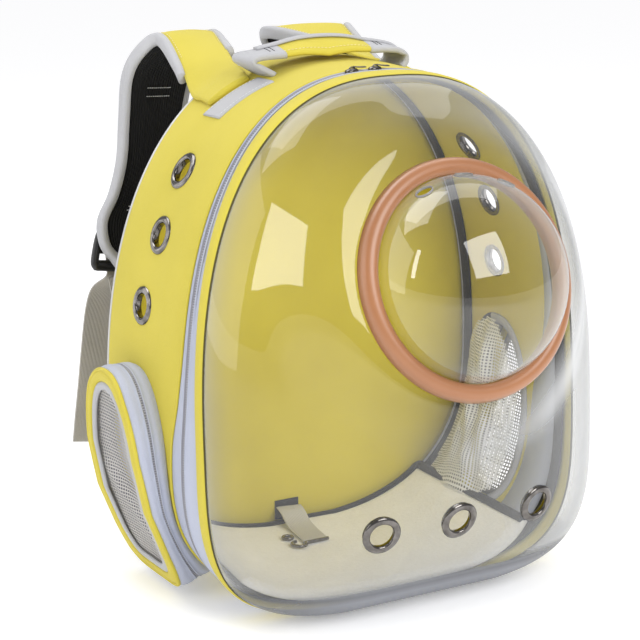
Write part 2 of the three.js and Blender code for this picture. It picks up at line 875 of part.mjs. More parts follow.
// The two edges of a strap behind the body, from the back edge over the crest and down.
// x is a share of the back half width, y of the strap's reach behind the back wall, z of
// the back height.
const strapRun = [
  { outerX: 0.540, outerY: 0.31, outerZ: 0.974, innerX: 0.220, innerY: 0.41, innerZ: 1.008 },
  { outerX: 0.535, outerY: 0.60, outerZ: 1.022, innerX: 0.135, innerY: 0.88, innerZ: 1.016 },
  { outerX: 0.610, outerY: 0.70, outerZ: 0.995, innerX: 0.170, innerY: 0.98, innerZ: 0.985 },
  { outerX: 0.660, outerY: 0.76, outerZ: 0.945, innerX: 0.235, innerY: 0.99, innerZ: 0.930 },
  { outerX: 0.680, outerY: 0.77, outerZ: 0.860, innerX: 0.300, innerY: 0.93, innerZ: 0.850 },
  { outerX: 0.710, outerY: 0.73, outerZ: 0.780, innerX: 0.350, innerY: 0.86, innerZ: 0.770 },
  { outerX: 0.770, outerY: 0.68, outerZ: 0.715, innerX: 0.405, innerY: 0.79, innerZ: 0.700 },
  { outerX: 0.850, outerY: 0.62, outerZ: 0.665, innerX: 0.470, innerY: 0.71, innerZ: 0.645 },
  { outerX: 0.845, outerY: 0.59, outerZ: 0.615, innerX: 0.520, innerY: 0.65, innerZ: 0.595 },
  { outerX: 0.790, outerY: 0.57, outerZ: 0.585, innerX: 0.590, innerY: 0.60, innerZ: 0.573 },
];
// The root lies on the band: distance of each edge from the middle as a share of the half
// width, and the place along the depth as a share from the front rim to the back.
const rootRun = [
  { outerX: 0.585, outerShare: 0.745, innerX: 0.370, innerShare: 0.645 },
  { outerX: 0.575, outerShare: 0.86, innerX: 0.330, innerShare: 0.80 },
  { outerX: 0.565, outerShare: 1.00, innerX: 0.290, innerShare: 1.00 },
];
const strapLift = gap + 3;      // the strap's root is straight across, the band curved
const barLift = gap + 0.5;

function onBand(x, share, lift) {
  const angle = angleAtWidth(x * backHalfWidth, share);
  return bandPoint(angle, share, 0).addScaledVector(bandNormal(angle, share), lift);
}

const strapEdges = [
  ...rootRun.map((row) => ({
    outer: onBand(row.outerX, row.outerShare, strapLift),
    inner: onBand(row.innerX, row.innerShare, strapLift),
  })),
  ...strapRun.map((row) => ({
    outer: vector(
      row.outerX * backHalfWidth, bodyDepth / 2 + row.outerY * strapReach,
      row.outerZ * backHeight,
    ),
    inner: vector(
      row.innerX * backHalfWidth, bodyDepth / 2 + row.innerY * strapReach,
      row.innerZ * backHeight,
    ),
  })),
];

// Frames along a ribbon given by its two edges: centre, sideways unit vector and normal.
function ribbonFrames(edges) {
  const centres = edges.map(({ outer, inner }) => outer.clone().add(inner).multiplyScalar(0.5));
  return edges.map(({ outer, inner }, i) => {
    const before = centres[Math.max(0, i - 1)];
    const after = centres[Math.min(edges.length - 1, i + 1)];
    const run = after.clone().sub(before).normalize();
    const across = inner.clone().sub(outer).normalize();
    const normal = run.clone().cross(across).normalize();
    return { outer, inner, run, across, normal };
  });
}

const strapFrames = ribbonFrames(strapEdges);
const outwardSign = Math.sign(strapFrames[0].normal.z);
strapFrames.forEach((frame) => frame.normal.multiplyScalar(outwardSign));

function strapLayer(frames, edgeInset, low, high, side) {
  return cappedBody(frames.map(({ outer, inner, across, normal }) => {
    const a = outer.clone().addScaledVector(across, edgeInset);
    const b = inner.clone().addScaledVector(across, -edgeInset);
    return [
      a.clone().addScaledVector(normal, low), a.clone().addScaledVector(normal, high),
      b.clone().addScaledVector(normal, high), b.clone().addScaledVector(normal, low),
    ].map((p) => mirrorX(p, side));
  }));
}

const paddedFrames = strapFrames.slice(3);
const bindingFrames = strapFrames.slice(3);

// The binding runs down the outer edge, across the lower end and up the inner edge.
function strapBindingBody(side) {
  const low = -gap - strapLining;
  const high = strapWall + gap;
  const last = bindingFrames.length - 1;
  const section = (edge, inward, normal) => {
    const inner = edge.clone().addScaledVector(inward, strapBinding);
    return [
      edge.clone().addScaledVector(normal, low), edge.clone().addScaledVector(normal, high),
      inner.clone().addScaledVector(normal, high), inner.clone().addScaledVector(normal, low),
    ].map((p) => mirrorX(p, side));
  };
  const down = bindingFrames.slice(0, last).map((f) => section(f.outer, f.across, f.normal));
  const up = bindingFrames.slice(0, last).reverse().map((f) => (
    section(f.inner, f.across.clone().negate(), f.normal)));
  const end = bindingFrames[last];
  const corner = (edge, across) => section(
    edge.clone().addScaledVector(end.run, strapBinding + gap),
    across.clone().sub(end.run), end.normal,
  );
  const ends = [
    corner(end.outer, end.across), corner(end.inner, end.across.clone().negate()),
  ];
  return cappedBody([...down, ...ends, ...up]);
}

for (const { name, side } of sides) {
  const coreInset = strapBinding + gap;
  addPiece(
    `strap_core_${name}`, strapLayer(strapFrames, coreInset, 0, strapWall, side), yellowCloth,
  );
  addPiece(
    `strap_lining_${name}`,
    strapLayer(paddedFrames, coreInset, -gap - strapLining, -gap, side),
    blackCloth,
  );
  addPiece(`strap_binding_${name}`, strapBindingBody(side), paleCloth);
}

// Grey bars over the strap roots, on the band in front of them.
const barRun = [
  { x: 0.600, share: 0.730 },
  { x: 0.490, share: 0.675 },
  { x: 0.375, share: 0.620 },
];

function barBody(side) {
  const depth = barWidth / bodyDepth;
  return cappedBody(barRun.map(({ x, share }) => [
    onBand(x, share, barLift),
    onBand(x, share, barLift + barWall),
    onBand(x, share - depth, barLift + barWall),
    onBand(x, share - depth, barLift),
  ].map((p) => mirrorX(p, side))));
}

// Ladder lock: a flat frame with two slots, on the outside of the strap's lower end.
const strapEnd = strapFrames[strapFrames.length - 1];
const endCentre = strapEnd.outer.clone().add(strapEnd.inner).multiplyScalar(0.5);
const buckleFoot = strapBinding + gap * 2;
const buckleFace = strapWall + gap * 4;

// A place near the strap's end: along its width, down its run and out of its outer face.
function nearStrapEnd(along, down, out) {
  return endCentre.clone()
    .addScaledVector(strapEnd.across, along)
    .addScaledVector(strapEnd.run, down)
    .addScaledVector(strapEnd.normal, out);
}

function buckleBody(side) {
  const bar = buckleHeight / 5;
  const frame = new THREE.Shape();
  frame.moveTo(-buckleWidth / 2, 0);
  frame.lineTo(buckleWidth / 2, 0);
  frame.lineTo(buckleWidth / 2 - bar, buckleHeight);
  frame.lineTo(-buckleWidth / 2 + bar, buckleHeight);
  frame.closePath();
  const slotHalf = webbingWidth / 2 + 1;
  [1, 3].forEach((k) => {
    const slot = new THREE.Path();
    slot.moveTo(-slotHalf, bar * k);
    slot.lineTo(-slotHalf, bar * (k + 1));
    slot.lineTo(slotHalf, bar * (k + 1));
    slot.lineTo(slotHalf, bar * k);
    slot.closePath();
    frame.holes.push(slot);
  });
  const body = new THREE.ExtrudeGeometry(frame, { depth: buckleWall, bevelEnabled: false });
  const up = strapEnd.run.clone().negate();
  body.applyMatrix4(new THREE.Matrix4().makeBasis(strapEnd.across, up, strapEnd.normal));
  const place = nearStrapEnd(-buckleShift, buckleFoot, buckleFace);
  body.translate(place.x, place.y, place.z);
  body.scale(side, 1, 1);
  body.deleteAttribute('normal');
  body.deleteAttribute('uv');
  const merged = mergeVertices(body, 1e-4);
  const corners = [];
  for (let i = 0; i < merged.attributes.position.count; i += 1) {
    corners.push(new THREE.Vector3().fromBufferAttribute(merged.attributes.position, i));
  }
  const triangles = [];
  for (let i = 0; i < merged.index.count; i += 3) {
    triangles.push([0, 1, 2].map((k) => merged.index.getX(i + k)));
  }
  return bodyFromTriangles(corners, triangles);
}

// Webbing: a flat ribbon through a list of centres; its width lies across the run.
function webbingBody(centres, across, side) {
  const edges = centres.map((centre) => ({
    outer: centre.clone().addScaledVector(across, -webbingWidth / 2),
    inner: centre.clone().addScaledVector(across, webbingWidth / 2),
  }));
  return strapLayer(ribbonFrames(edges), 0, -webbingWall / 2, webbingWall / 2, side);
}

// The load webbing runs from the buckle to the lower corner of the back pad.
const padFace = padPlane + backPadThickness;
const anchor = vector(
  backHalfWidth * 0.61, padFace + webbingWall / 2 + gap, backHeight * 0.13,
);
const loadTop = nearStrapEnd(0, buckleFoot + 2, buckleFace + buckleWall / 2);
const loadRun = [
  loadTop,
  loadTop.clone().lerp(anchor, 0.5).add(vector(0, 4, -4)),
  anchor.clone().add(vector(0, 3, 22)),
  anchor,
];
// The loose end hangs from the buckle's outer face: x is a share of the back half width,
// y of the strap reach, z of the back height.
const tailRun = [
  { x: 0.775, y: 0.76, z: 0.50 },
  { x: 0.835, y: 0.72, z: 0.385 },
  { x: 0.905, y: 0.66, z: 0.205 },
].map(({ x, y, z }) => vector(
  x * backHalfWidth, bodyDepth / 2 + y * strapReach, z * backHeight,
));
const tailOut = buckleFace + buckleWall + webbingWall / 2 + gap;
const tailCentres = [
  nearStrapEnd(0, buckleFoot - buckleHeight * 0.8, tailOut),
  nearStrapEnd(0, buckleFoot + 2, tailOut),
  ...tailRun,
];

for (const { name, side } of sides) {
  addPiece(`strap_bar_${name}`, barBody(side), paleCloth);
  addPiece(`strap_buckle_${name}`, buckleBody(side), blackPlastic);
  addPiece(
    `load_webbing_${name}`, webbingBody(loadRun, vector(-1, 0, 0), side), greyWebbing,
  );
  addPiece(
    `webbing_tail_${name}`, webbingBody(tailCentres, strapEnd.across, side), greyWebbing,
  );
}

// Zip sliders at the top of the front zip: a body and a pull that lies along the zip.
function sliderBody(x) {
  const middle = Math.PI / 2;
  const share = seamShare(middle, 'coil');
  const angle = middle - Math.sign(x) * (middle - angleAtWidth(Math.abs(x), share));
  const base = new THREE.BoxGeometry(sliderLength, sliderWidth, sliderHeight);
  const pull = new THREE.BoxGeometry(sliderLength * 1.6, sliderWidth * 0.6, sliderHeight / 3);
  pull.translate(0, 0, sliderHeight * 0.6);
  const joined = fromSolid(toSolid(base).add(toSolid(pull)));
  joined.translate(0, 0, sliderHeight / 2 + gap - zipInset);
  return placed(joined, bandPoint(angle, share, 0), bandNormal(angle, share));
}

for (const { name, x } of sliderPlaces) {
  addPiece(`zip_slider_${name}`, sliderBody(x), bareMetal);
}

// Leash: a tab on the foot of the back wall, a short strap on the mat, a ring and a hook.
const matTop = matUnder + matWall + 0.6;
const tab = new THREE.BoxGeometry(leashWidth, tabWall, tabHeight);
tab.translate(leashX, bodyDepth / 2 - tabWall / 2, matTop + gap + tabHeight / 2);
addPiece('leash_tab', tab, blackCloth);

const leashDrift = leashLength * 0.14;
const leashRun = [
  { along: 0.00, lift: tabHeight * 0.6 },
  { along: 0.15, lift: tabHeight * 0.5 },
  { along: 0.45, lift: tabHeight * 0.1 },
  { along: 1.00, lift: 0 },
].map(({ along, lift }) => vector(
  leashX - leashDrift * along,
  bodyDepth / 2 - tabWall - gap - leashWall - leashLength * along,
  matTop + gap + leashWall / 2 + lift,
));
const leashEdges = leashRun.map((centre) => ({
  outer: centre.clone().add(vector(-leashWidth / 2, 0, 0)),
  inner: centre.clone().add(vector(leashWidth / 2, 0, 0)),
}));
addPiece(
  'leash_strap',
  strapLayer(ribbonFrames(leashEdges), 0, -leashWall / 2, leashWall / 2, 1),
  greyWebbing,
);

function wireBody(curve, steps) {
  const section = new THREE.Shape();
  section.absarc(0, 0, leashWire, 0, 2 * Math.PI);
  const body = new THREE.ExtrudeGeometry(section, {
    steps, curveSegments: 3, extrudePath: curve, bevelEnabled: false,
  });
  return toSolid(body);
}

const leashEnd = leashRun[leashRun.length - 1];
const wireHeight = matTop + gap + leashWire;
const barY = leashEnd.y - leashWire - gap;
const crossBar = new THREE.LineCurve3(
  vector(leashEnd.x - leashWidth / 2, barY, wireHeight),
  vector(leashEnd.x + leashWidth / 2, barY, wireHeight),
);
const hookRadius = leashWidth * 0.27;
const hookStart = vector(leashEnd.x - leashWidth / 2 + 1, barY, wireHeight);
const hookCurve = new THREE.CatmullRomCurve3(
  [0, 1, 2, 3, 4, 5].map((k) => vector(
    hookStart.x - hookRadius * (1 - Math.cos(k * 0.95)),
    hookStart.y - hookRadius * Math.sin(k * 0.95),
    wireHeight,
  )),
);
addPiece(
  'leash_hook', fromSolid(wireBody(crossBar, 1).add(wireBody(hookCurve, 12))), bareMetal,
);
const leashRing = new THREE.TorusGeometry(leashRingRadius, leashWire, 6, 12);
leashRing.translate(
  leashEnd.x - leashWidth / 2 - leashRingRadius - leashWire - gap * 2,
  leashEnd.y + leashWidth * 0.7,
  wireHeight,
);
addPiece('leash_ring', leashRing, bareMetal);

export default carrier;
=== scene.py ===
import math

import bmesh
import bpy
import numpy as np
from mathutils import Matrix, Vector, noise


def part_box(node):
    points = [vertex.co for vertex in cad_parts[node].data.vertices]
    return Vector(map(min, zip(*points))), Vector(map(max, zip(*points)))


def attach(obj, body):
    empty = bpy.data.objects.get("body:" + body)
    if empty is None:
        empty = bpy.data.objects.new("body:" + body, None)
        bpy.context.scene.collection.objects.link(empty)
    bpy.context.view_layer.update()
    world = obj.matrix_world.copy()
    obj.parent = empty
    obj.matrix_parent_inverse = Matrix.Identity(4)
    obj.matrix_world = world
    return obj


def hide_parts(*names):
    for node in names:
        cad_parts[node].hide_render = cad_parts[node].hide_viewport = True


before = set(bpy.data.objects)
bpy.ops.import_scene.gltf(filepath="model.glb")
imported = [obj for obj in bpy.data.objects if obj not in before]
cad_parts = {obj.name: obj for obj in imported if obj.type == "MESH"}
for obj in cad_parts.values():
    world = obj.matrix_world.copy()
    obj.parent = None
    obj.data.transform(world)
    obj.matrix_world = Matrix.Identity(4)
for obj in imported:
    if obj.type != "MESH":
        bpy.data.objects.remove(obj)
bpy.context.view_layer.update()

# The shapes below are worked out in millimetres, in the frame of the solids. X runs across,
# Y from the clear front to the wearer's back, Z up. Meshes are written in metres.
MM = 0.001
BODY = "root"

# Fabric body
DEPTH = 160.0
RIM_LEAN = 21.0
FRONT = {"half": 165.0, "height": 395.0, "waist": 141.0, "crown": 2.46, "foot": 4.0}
BACK = {"half": 169.0, "height": 399.0, "waist": 140.0, "crown": 2.25, "foot": 2.4}
BASE_CUT = 1.0
GAP = 0.3
CLOTH = 3.0

# Seams: height as a share of the front height, the rest as shares of the depth
SEAMS = np.array([
    # height, rim, coil, rear
    (1.00, 0.130, 0.162, 0.195),
    (0.80, 0.090, 0.130, 0.180),
    (0.55, 0.072, 0.130, 0.190),
    (0.43, 0.072, 0.155, 0.235),
    (0.33, 0.075, 0.195, 0.310),
    (0.20, 0.085, 0.220, 0.345),
    (0.00, 0.095, 0.230, 0.360),
])
RIM_SEAM, COIL_SEAM, REAR_SEAM = 1, 2, 3

# Clear shell and bubble
SHELL_REACH = 96.0
SHELL_INSET = 1.0
SHELL_SIDE, SHELL_TOP, SHELL_FOOT = 2.11, 1.95, 2.0
SHELL_FOOT_HEIGHT = 160.0
SHELL_NOSE_HEIGHT = 185.0
BUBBLE_HEIGHT = 260.0
SEAT_PROUD = 2.0
TILT = math.radians(20)
BUBBLE_RADIUS = 74.0
BUBBLE_REACH = 66.0
RING_WIDTH = 13.0
SEAT_SOFT = 62.0

# Eyelets: height as a share of the front height, place as a share of the depth
EYELET_OUTER, EYELET_INNER = 14.7, 9.2
SIDE_EYELETS = [(0.818, 0.600), (0.701, 0.595), (0.565, 0.655)]
FRONT_EYELET_HEIGHT = 83.0
FRONT_EYELET_SPACING = 68.0

# Doors
DOOR_CENTRE, DOOR_HALF = 93.0, 85.0
DOOR_SHARE, DOOR_HALF_SHARE = 0.665, 0.295
DOOR_CROWN, DOOR_FOOT = 2.3, 5.5
# The opening's foot is raised clear of the floor by this much, fading out over the fade.
DOOR_RAISE, DOOR_RAISE_FADE = 10.0, 45.0
DOOR_FACE = np.array([
    # height, distance from the middle
    (0, 147), (20, 158), (40, 167), (75, 181), (115, 189), (160, 193), (200, 193),
])

# Straps: edges behind the body, as shares of the back half width, reach and back height
STRAP_REACH = 110.0
STRAP_STEPS = 190
STRAP_ROWS = [
    # outer x, y, z, inner x, y, z
    (0.540, 0.31, 0.974, 0.220, 0.41, 1.008),
    (0.535, 0.60, 1.022, 0.135, 0.88, 1.016),
    (0.610, 0.70, 0.995, 0.170, 0.98, 0.985),
    (0.660, 0.76, 0.945, 0.235, 0.99, 0.930),
    (0.680, 0.77, 0.860, 0.300, 0.93, 0.850),
    (0.710, 0.73, 0.780, 0.350, 0.86, 0.770),
    (0.770, 0.68, 0.715, 0.405, 0.79, 0.700),
    (0.850, 0.62, 0.665, 0.470, 0.71, 0.645),
    (0.845, 0.59, 0.615, 0.520, 0.65, 0.595),
    (0.790, 0.57, 0.585, 0.590, 0.60, 0.573),
]
ROOT_ROWS = [
    # outer x, outer share, inner x, inner share
    (0.585, 0.745, 0.370, 0.645),
    (0.575, 0.860, 0.330, 0.800),
    (0.565, 1.000, 0.290, 1.000),
]

SIDES = (("left", -1), ("right", 1))


def mix(a, b, t):
    return a + (b - a) * t


def smooth(t):
    t = np.clip(t, 0.0, 1.0)
    return t * t * (3 - 2 * t)


def unit(v):
    v = np.asarray(v, float)
    return v / np.maximum(np.linalg.norm(v, axis=-1, keepdims=True), 1e-12)


def mirror(points, side):
    return np.asarray(points, float) * np.array([side, 1.0, 1.0])


def spline(points, count):
    """Catmull-Rom curve through the points, evenly spaced along its length."""
    p = np.asarray(points, float)
    p = np.concatenate([[2 * p[0] - p[1]], p, [2 * p[-1] - p[-2]]])
    fine = []
    for i in range(1, len(p) - 2):
        t = np.linspace(0, 1, 24, endpoint=False)[:, None]
        a, b, c, d = p[i - 1], p[i], p[i + 1], p[i + 2]
        fine.append(0.5 * (
            2 * b + (c - a) * t + (2 * a - 5 * b + 4 * c - d) * t ** 2
            + (3 * b - a - 3 * c + d) * t ** 3))
    fine = np.concatenate(fine + [p[-2:-1]])
    length = np.concatenate([[0], np.cumsum(np.linalg.norm(np.diff(fine, axis=0), axis=1))])
    at = np.linspace(0, length[-1], count)
    return np.stack([np.interp(at, length, fine[:, k]) for k in range(p.shape[1])], -1)


SEAM_LINES = [spline(SEAMS[::-1][:, [0, column]], 120) for column in (1, 2, 3)]


# Curves and surfaces of the body


def outline_point(outline, angle, inset=0.0):
    c, s = np.cos(angle), np.sin(angle)
    power = np.where(s >= 0, 2 / outline["crown"], 2 / outline["foot"])
    x = (outline["half"] - inset) * np.sign(c) * np.abs(c) ** power
    waist = outline["waist"]
    above = waist + (outline["height"] - inset - waist) * np.abs(s) ** power
    below = np.maximum(inset, waist - (waist + BASE_CUT - inset) * np.abs(s) ** power)
    return x, np.where(s >= 0, above, below)


def band_point(angle, share, inset=0.0):
    angle, share = np.broadcast_arrays(np.asarray(angle, float), np.asarray(share, float))
    fx, fz = outline_point(FRONT, angle, inset)
    bx, bz = outline_point(BACK, angle, inset)
    front_y = -DEPTH / 2 + RIM_LEAN * fz / FRONT["height"]
    return np.stack([mix(fx, bx, share), mix(front_y, DEPTH / 2, share), mix(fz, bz, share)], -1)


def band_normal(angle, share):
    step = 0.004
    along = band_point(angle + step, share) - band_point(angle - step, share)
    back = band_point(angle, share + 0.01) - band_point(angle, share - 0.01)
    return unit(np.cross(back, along))


def equal_angles(count, point_at):
    fine = np.linspace(-math.pi / 2, 1.5 * math.pi, count * 40 + 1)
    x, z = point_at(fine)
    length = np.concatenate([[0], np.cumsum(np.hypot(np.diff(x), np.diff(z)))])
    return np.interp(np.arange(count) * length[-1] / count, length, fine)


def front_outline(angle):
    return outline_point(FRONT, angle)


def seam_share(angle, column):
    height = outline_point(FRONT, np.asarray(angle, float))[1] / FRONT["height"]
    line = SEAM_LINES[column - 1]
    return np.interp(height, line[:, 0], line[:, 1])


def depth_at(angle):
    height = outline_point(FRONT, np.asarray(angle, float))[1]
    return DEPTH - RIM_LEAN * height / FRONT["height"]


def angle_where(test, low, high, shape):
    low = np.full(shape, low, float)
    high = np.full(shape, high, float)
    for _ in range(40):
        middle = (low + high) / 2
        go_up = test(middle)
        low, high = np.where(go_up, middle, low), np.where(go_up, high, middle)
    return (low + high) / 2


def angle_at_height(height, share):
    height, share = np.broadcast_arrays(np.asarray(height, float), np.asarray(share, float))
    return angle_where(
        lambda a: band_point(a, share)[..., 2] < height, -math.pi / 2, math.pi / 2, height.shape)


def angle_at_width(x, share):
    x, share = np.broadcast_arrays(np.asarray(x, float), np.asarray(share, float))
    return angle_where(
        lambda a: band_point(a, share)[..., 0] > x, 0.0, math.pi / 2, x.shape)


def on_band(x_share, share, lift):
    angle = angle_at_width(x_share * BACK["half"], share)
    return band_point(angle, share) + band_normal(angle, share) * np.asarray(lift)[..., None]


def wobble(points, size, seed=0.0):
    """Smooth noise in -1..1 at each point, with features of that size in mm."""
    flat = np.asarray(points, float).reshape(-1, 3) / size + seed
    values = [noise.noise(Vector(p)) for p in flat]
    return np.array(values).reshape(np.asarray(points).shape[:-1])


# Meshes


def grid(points, wrap_rows=False, wrap_cols=False):
    """Quads over a grid of points, with texture coordinates in metres along both ways."""
    p = np.asarray(points, float)
    rows, cols = p.shape[:2]
    r = np.arange(rows if wrap_rows else rows - 1)
    c = np.arange(cols if wrap_cols else cols - 1)
    rr, cc = np.meshgrid(r, c, indexing="ij")
    r1, c1 = (rr + 1) % rows, (cc + 1) % cols
    faces = np.stack(
        [rr * cols + cc, rr * cols + c1, r1 * cols + c1, r1 * cols + cc], -1).reshape(-1, 4)
    col_steps = np.linalg.norm(np.roll(p, -1, axis=1) - p, axis=2).mean(axis=0)
    row_steps = np.linalg.norm(np.roll(p, -1, axis=0) - p, axis=2).mean(axis=1)
    u = np.concatenate([[0], np.cumsum(col_steps)]) * MM
    v = np.concatenate([[0], np.cumsum(row_steps)]) * MM
    uvs = np.stack([
        np.stack([u[cc], v[rr]], -1), np.stack([u[cc + 1], v[rr]], -1),
        np.stack([u[cc + 1], v[rr + 1]], -1), np.stack([u[cc], v[rr + 1]], -1),
    ], -2).reshape(-1, 2)
    return p.reshape(-1, 3), faces, uvs


def joined(parts):
    """Several (points, faces, uvs) as one."""
    points, faces, uvs, start = [], [], [], 0
    for p, f, t in parts:
        points.append(p)
        faces.extend([[start + int(i) for i in face] for face in f])
        uvs.append(t)
        start += len(p)
    return np.concatenate(points), faces, np.concatenate(uvs)


def capped(points):
    """A grid whose columns wrap, closed at its first and last row."""
    p, faces, uvs = grid(points, wrap_cols=True)
    rows, cols = np.asarray(points).shape[:2]
    caps = [list(range(cols))[::-1], [(rows - 1) * cols + i for i in range(cols)]]
    cap_uvs = np.concatenate([p[cap][:, :2] * MM for cap in caps])
    return p, [list(map(int, f)) for f in faces] + caps, np.concatenate([uvs, cap_uvs])


def piece(name, shape, material, replaces=(), close=True):
    points, faces, uvs = shape
    mesh = bpy.data.meshes.new(name)
    mesh.from_pydata((np.asarray(points) * MM).tolist(), [], [list(map(int, f)) for f in faces])
    layer = mesh.uv_layers.new(name="UVMap")
    layer.data.foreach_set("uv", np.asarray(uvs, np.float32).ravel())
    mesh.shade_smooth()
    obj = bpy.data.objects.new(name, mesh)
    bpy.context.scene.collection.objects.link(obj)
    if close:
        work = bmesh.new()
        work.from_mesh(mesh)
        bmesh.ops.recalc_face_normals(work, faces=work.faces)
        work.to_mesh(mesh)
        work.free()
    mesh.materials.append(material)
    if replaces:
        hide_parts(*replaces)
    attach(obj, BODY)
    return obj


def line_rows(obj, cols, rows, material):
    """Gives the faces of some grid rows a second material."""
    obj.data.materials.append(material)
    for row in rows:
        for face in range(row * cols, (row + 1) * cols):
            obj.data.polygons[face].material_index = 1


def frames_along(path, up=None, closed=False):
    """Run, side and up unit vectors along a path; up may be given at each point."""
    path = np.asarray(path, float)
    if closed:
        run = unit(np.roll(path, -1, axis=0) - np.roll(path, 1, axis=0))
    else:
        run = unit(np.gradient(path, axis=0))
    if up is None:
        up = np.zeros_like(path)
        guess = np.array([0.0, 0.0, 1.0])
        if abs(run[0] @ guess) > 0.9:
            guess = np.array([0.0, 1.0, 0.0])
        for i, r in enumerate(run):
            guess = guess - (guess @ r) * r
            guess = guess / np.linalg.norm(guess)
            up[i] = guess
    side = unit(np.cross(run, up))
    return run, side, unit(np.cross(side, run))


def swept(path, profile, up=None, closed=False):
    """A closed profile of (side, up) points carried along a path."""
    _, side, high = frames_along(path, up, closed)
    profile = np.asarray(profile, float)
    rows = (np.asarray(path)[:, None] + side[:, None] * profile[None, :, :1]
            + high[:, None] * profile[None, :, 1:])
    if closed:
        return grid(rows, wrap_rows=True, wrap_cols=True)
    return capped(rows)


def round_profile(radius, sides=10, flat=1.0):
    a = np.linspace(0, 2 * math.pi, sides, endpoint=False)
    return np.stack([np.cos(a) * radius, np.sin(a) * radius * flat], -1)


def tape_profile(width, wall, sides=3):
    """A flat tape with rounded edges, its back at height 0."""
    edge = min(width, wall) / 2
    corners = []
    for cx, cy, start in ((width / 2 - edge, wall - edge, 0), (-width / 2 + edge, wall - edge, 1),
                          (-width / 2 + edge, edge, 2), (width / 2 - edge, edge, 3)):
        for k in range(sides):
            a = (start + k / (sides - 1)) * math.pi / 2
            corners.append((cx + edge * math.cos(a), cy + edge * math.sin(a)))
    return np.array(corners)


def lathed(profile, sides, axis_point, axis, closed=True):
    """Rows of (radius, height) turned about an axis."""
    profile = np.asarray(profile, float)
    axis = unit(axis)
    helper = np.array([0.0, 0.0, 1.0]) if abs(axis[2]) < 0.9 else np.array([0.0, 1.0, 0.0])
    a_dir = unit(np.cross(helper, axis))
    b_dir = np.cross(axis, a_dir)
    a = np.linspace(0, 2 * math.pi, sides, endpoint=False)
    ring = a_dir * np.cos(a)[:, None] + b_dir * np.sin(a)[:, None]
    rows = (np.asarray(axis_point) + profile[:, None, :1] * ring[None]
            + profile[:, None, 1:] * axis)
    return grid(rows, wrap_rows=closed, wrap_cols=True)


def stitches(path, up, pitch=3.4, length=2.3, radius=0.28):
    """Thread dashes that lie along a path."""
    path = np.asarray(path, float)
    up = np.broadcast_to(up, path.shape)
    along = np.concatenate([[0], np.cumsum(np.linalg.norm(np.diff(path, axis=0), axis=1))])
    count = max(1, int(along[-1] / pitch))
    parts = []
    shape = [(-0.5, 0.25), (-0.3, 1.0), (0.3, 1.0), (0.5, 0.25)]
    for k in range(count):
        middle = (k + 0.5) * along[-1] / count
        ends = [middle + s * length for s, _ in shape]
        centre = np.stack([np.interp(ends, along, path[:, j]) for j in range(3)], -1)
        high = unit([np.interp(middle, along, up[:, j]) for j in range(3)])
        run = unit(centre[-1] - centre[0])
        side = np.cross(run, high)
        rows = []
        for point, (_, size) in zip(centre, shape):
            ring = [side * c * radius * size + high * s * radius * size
                    for c, s in ((1, 0), (0, 1), (-1, 0), (0, -0.6))]
            rows.append(point + np.array(ring))
        parts.append(capped(np.array(rows)))
    return joined(parts)


def freeze(obj):
    """Puts what an object's modifiers make into its mesh."""
    graph = bpy.context.evaluated_depsgraph_get()
    mesh = bpy.data.meshes.new_from_object(obj.evaluated_get(graph))
    old = obj.data
    obj.modifiers.clear()
    obj.data = mesh
    bpy.data.meshes.remove(old)
    mesh.shade_smooth()


def pad_out(obj, cap, pressure=4.0, voxel=5.5):
    """Cloth simulation: the closed piece swells, and no point moves further than cap mm."""
    remesh = obj.modifiers.new("remesh", "REMESH")
    remesh.mode = "VOXEL"
    remesh.voxel_size = voxel * MM
    freeze(obj)
    count = len(obj.data.vertices)
    rest = np.empty(count * 3, np.float32)
    obj.data.vertices.foreach_get("co", rest)
    cloth = obj.modifiers.new("cloth", "CLOTH")
    cloth.settings.use_pressure = True
    cloth.settings.uniform_pressure_force = pressure
    cloth.settings.effector_weights.gravity = 0
    scene = bpy.context.scene
    for number in range(1, 21):
        scene.frame_set(number)
    freeze(obj)
    moved = np.empty(count * 3, np.float32)
    obj.data.vertices.foreach_get("co", moved)
    step = (moved - rest).reshape(-1, 3)
    length = np.linalg.norm(step, axis=1, keepdims=True)
    limit = cap * MM
    step *= limit * np.tanh(length / limit) / np.maximum(length, 1e-9)
    obj.data.vertices.foreach_set("co", (rest.reshape(-1, 3) + step).ravel())
    scene.frame_set(1)
    subdivide = obj.modifiers.new("subdivide", "SUBSURF")
    subdivide.levels = 1
    subdivide.render_levels = 1
    freeze(obj)


# Materials


def shader(name):
    material = bpy.data.materials.new(name)
    material.use_nodes = True
    nodes = material.node_tree.nodes
    return material, nodes, material.node_tree.links, nodes["Principled BSDF"]


def math_node(nodes, links, kind, a, b=None):
    node = nodes.new("ShaderNodeMath")
    node.operation = kind
    for index, value in ((0, a), (1, b)):
        if value is None:
            continue
        if isinstance(value, (int, float)):
            node.inputs[index].default_value = value
        else:
            links.new(value, node.inputs[index])
    return node.outputs[0]


def noise_node(nodes, links, vector, scale, detail=3.0):
    node = nodes.new("ShaderNodeTexNoise")
    node.inputs["Scale"].default_value = scale
    node.inputs["Detail"].default_value = detail
    links.new(vector, node.inputs["Vector"])
    return node.outputs["Fac"]


def ramp_node(nodes, links, factor, stops):
    node = nodes.new("ShaderNodeValToRGB")
    elements = node.color_ramp.elements
    while len(elements) < len(stops):
        elements.new(0.5)
    for element, (place, colour) in zip(elements, stops):
        element.position = place
        element.color = (*colour, 1)
    links.new(factor, node.inputs["Fac"])
    return node.outputs["Color"]


def bump_node(nodes, links, height, strength, distance, normal=None):
    node = nodes.new("ShaderNodeBump")
    node.inputs["Strength"].default_value = strength
    node.inputs["Distance"].default_value = distance
    links.new(height, node.inputs["Height"])
    if normal is not None:
        links.new(normal, node.inputs["Normal"])
    return node.outputs["Normal"]


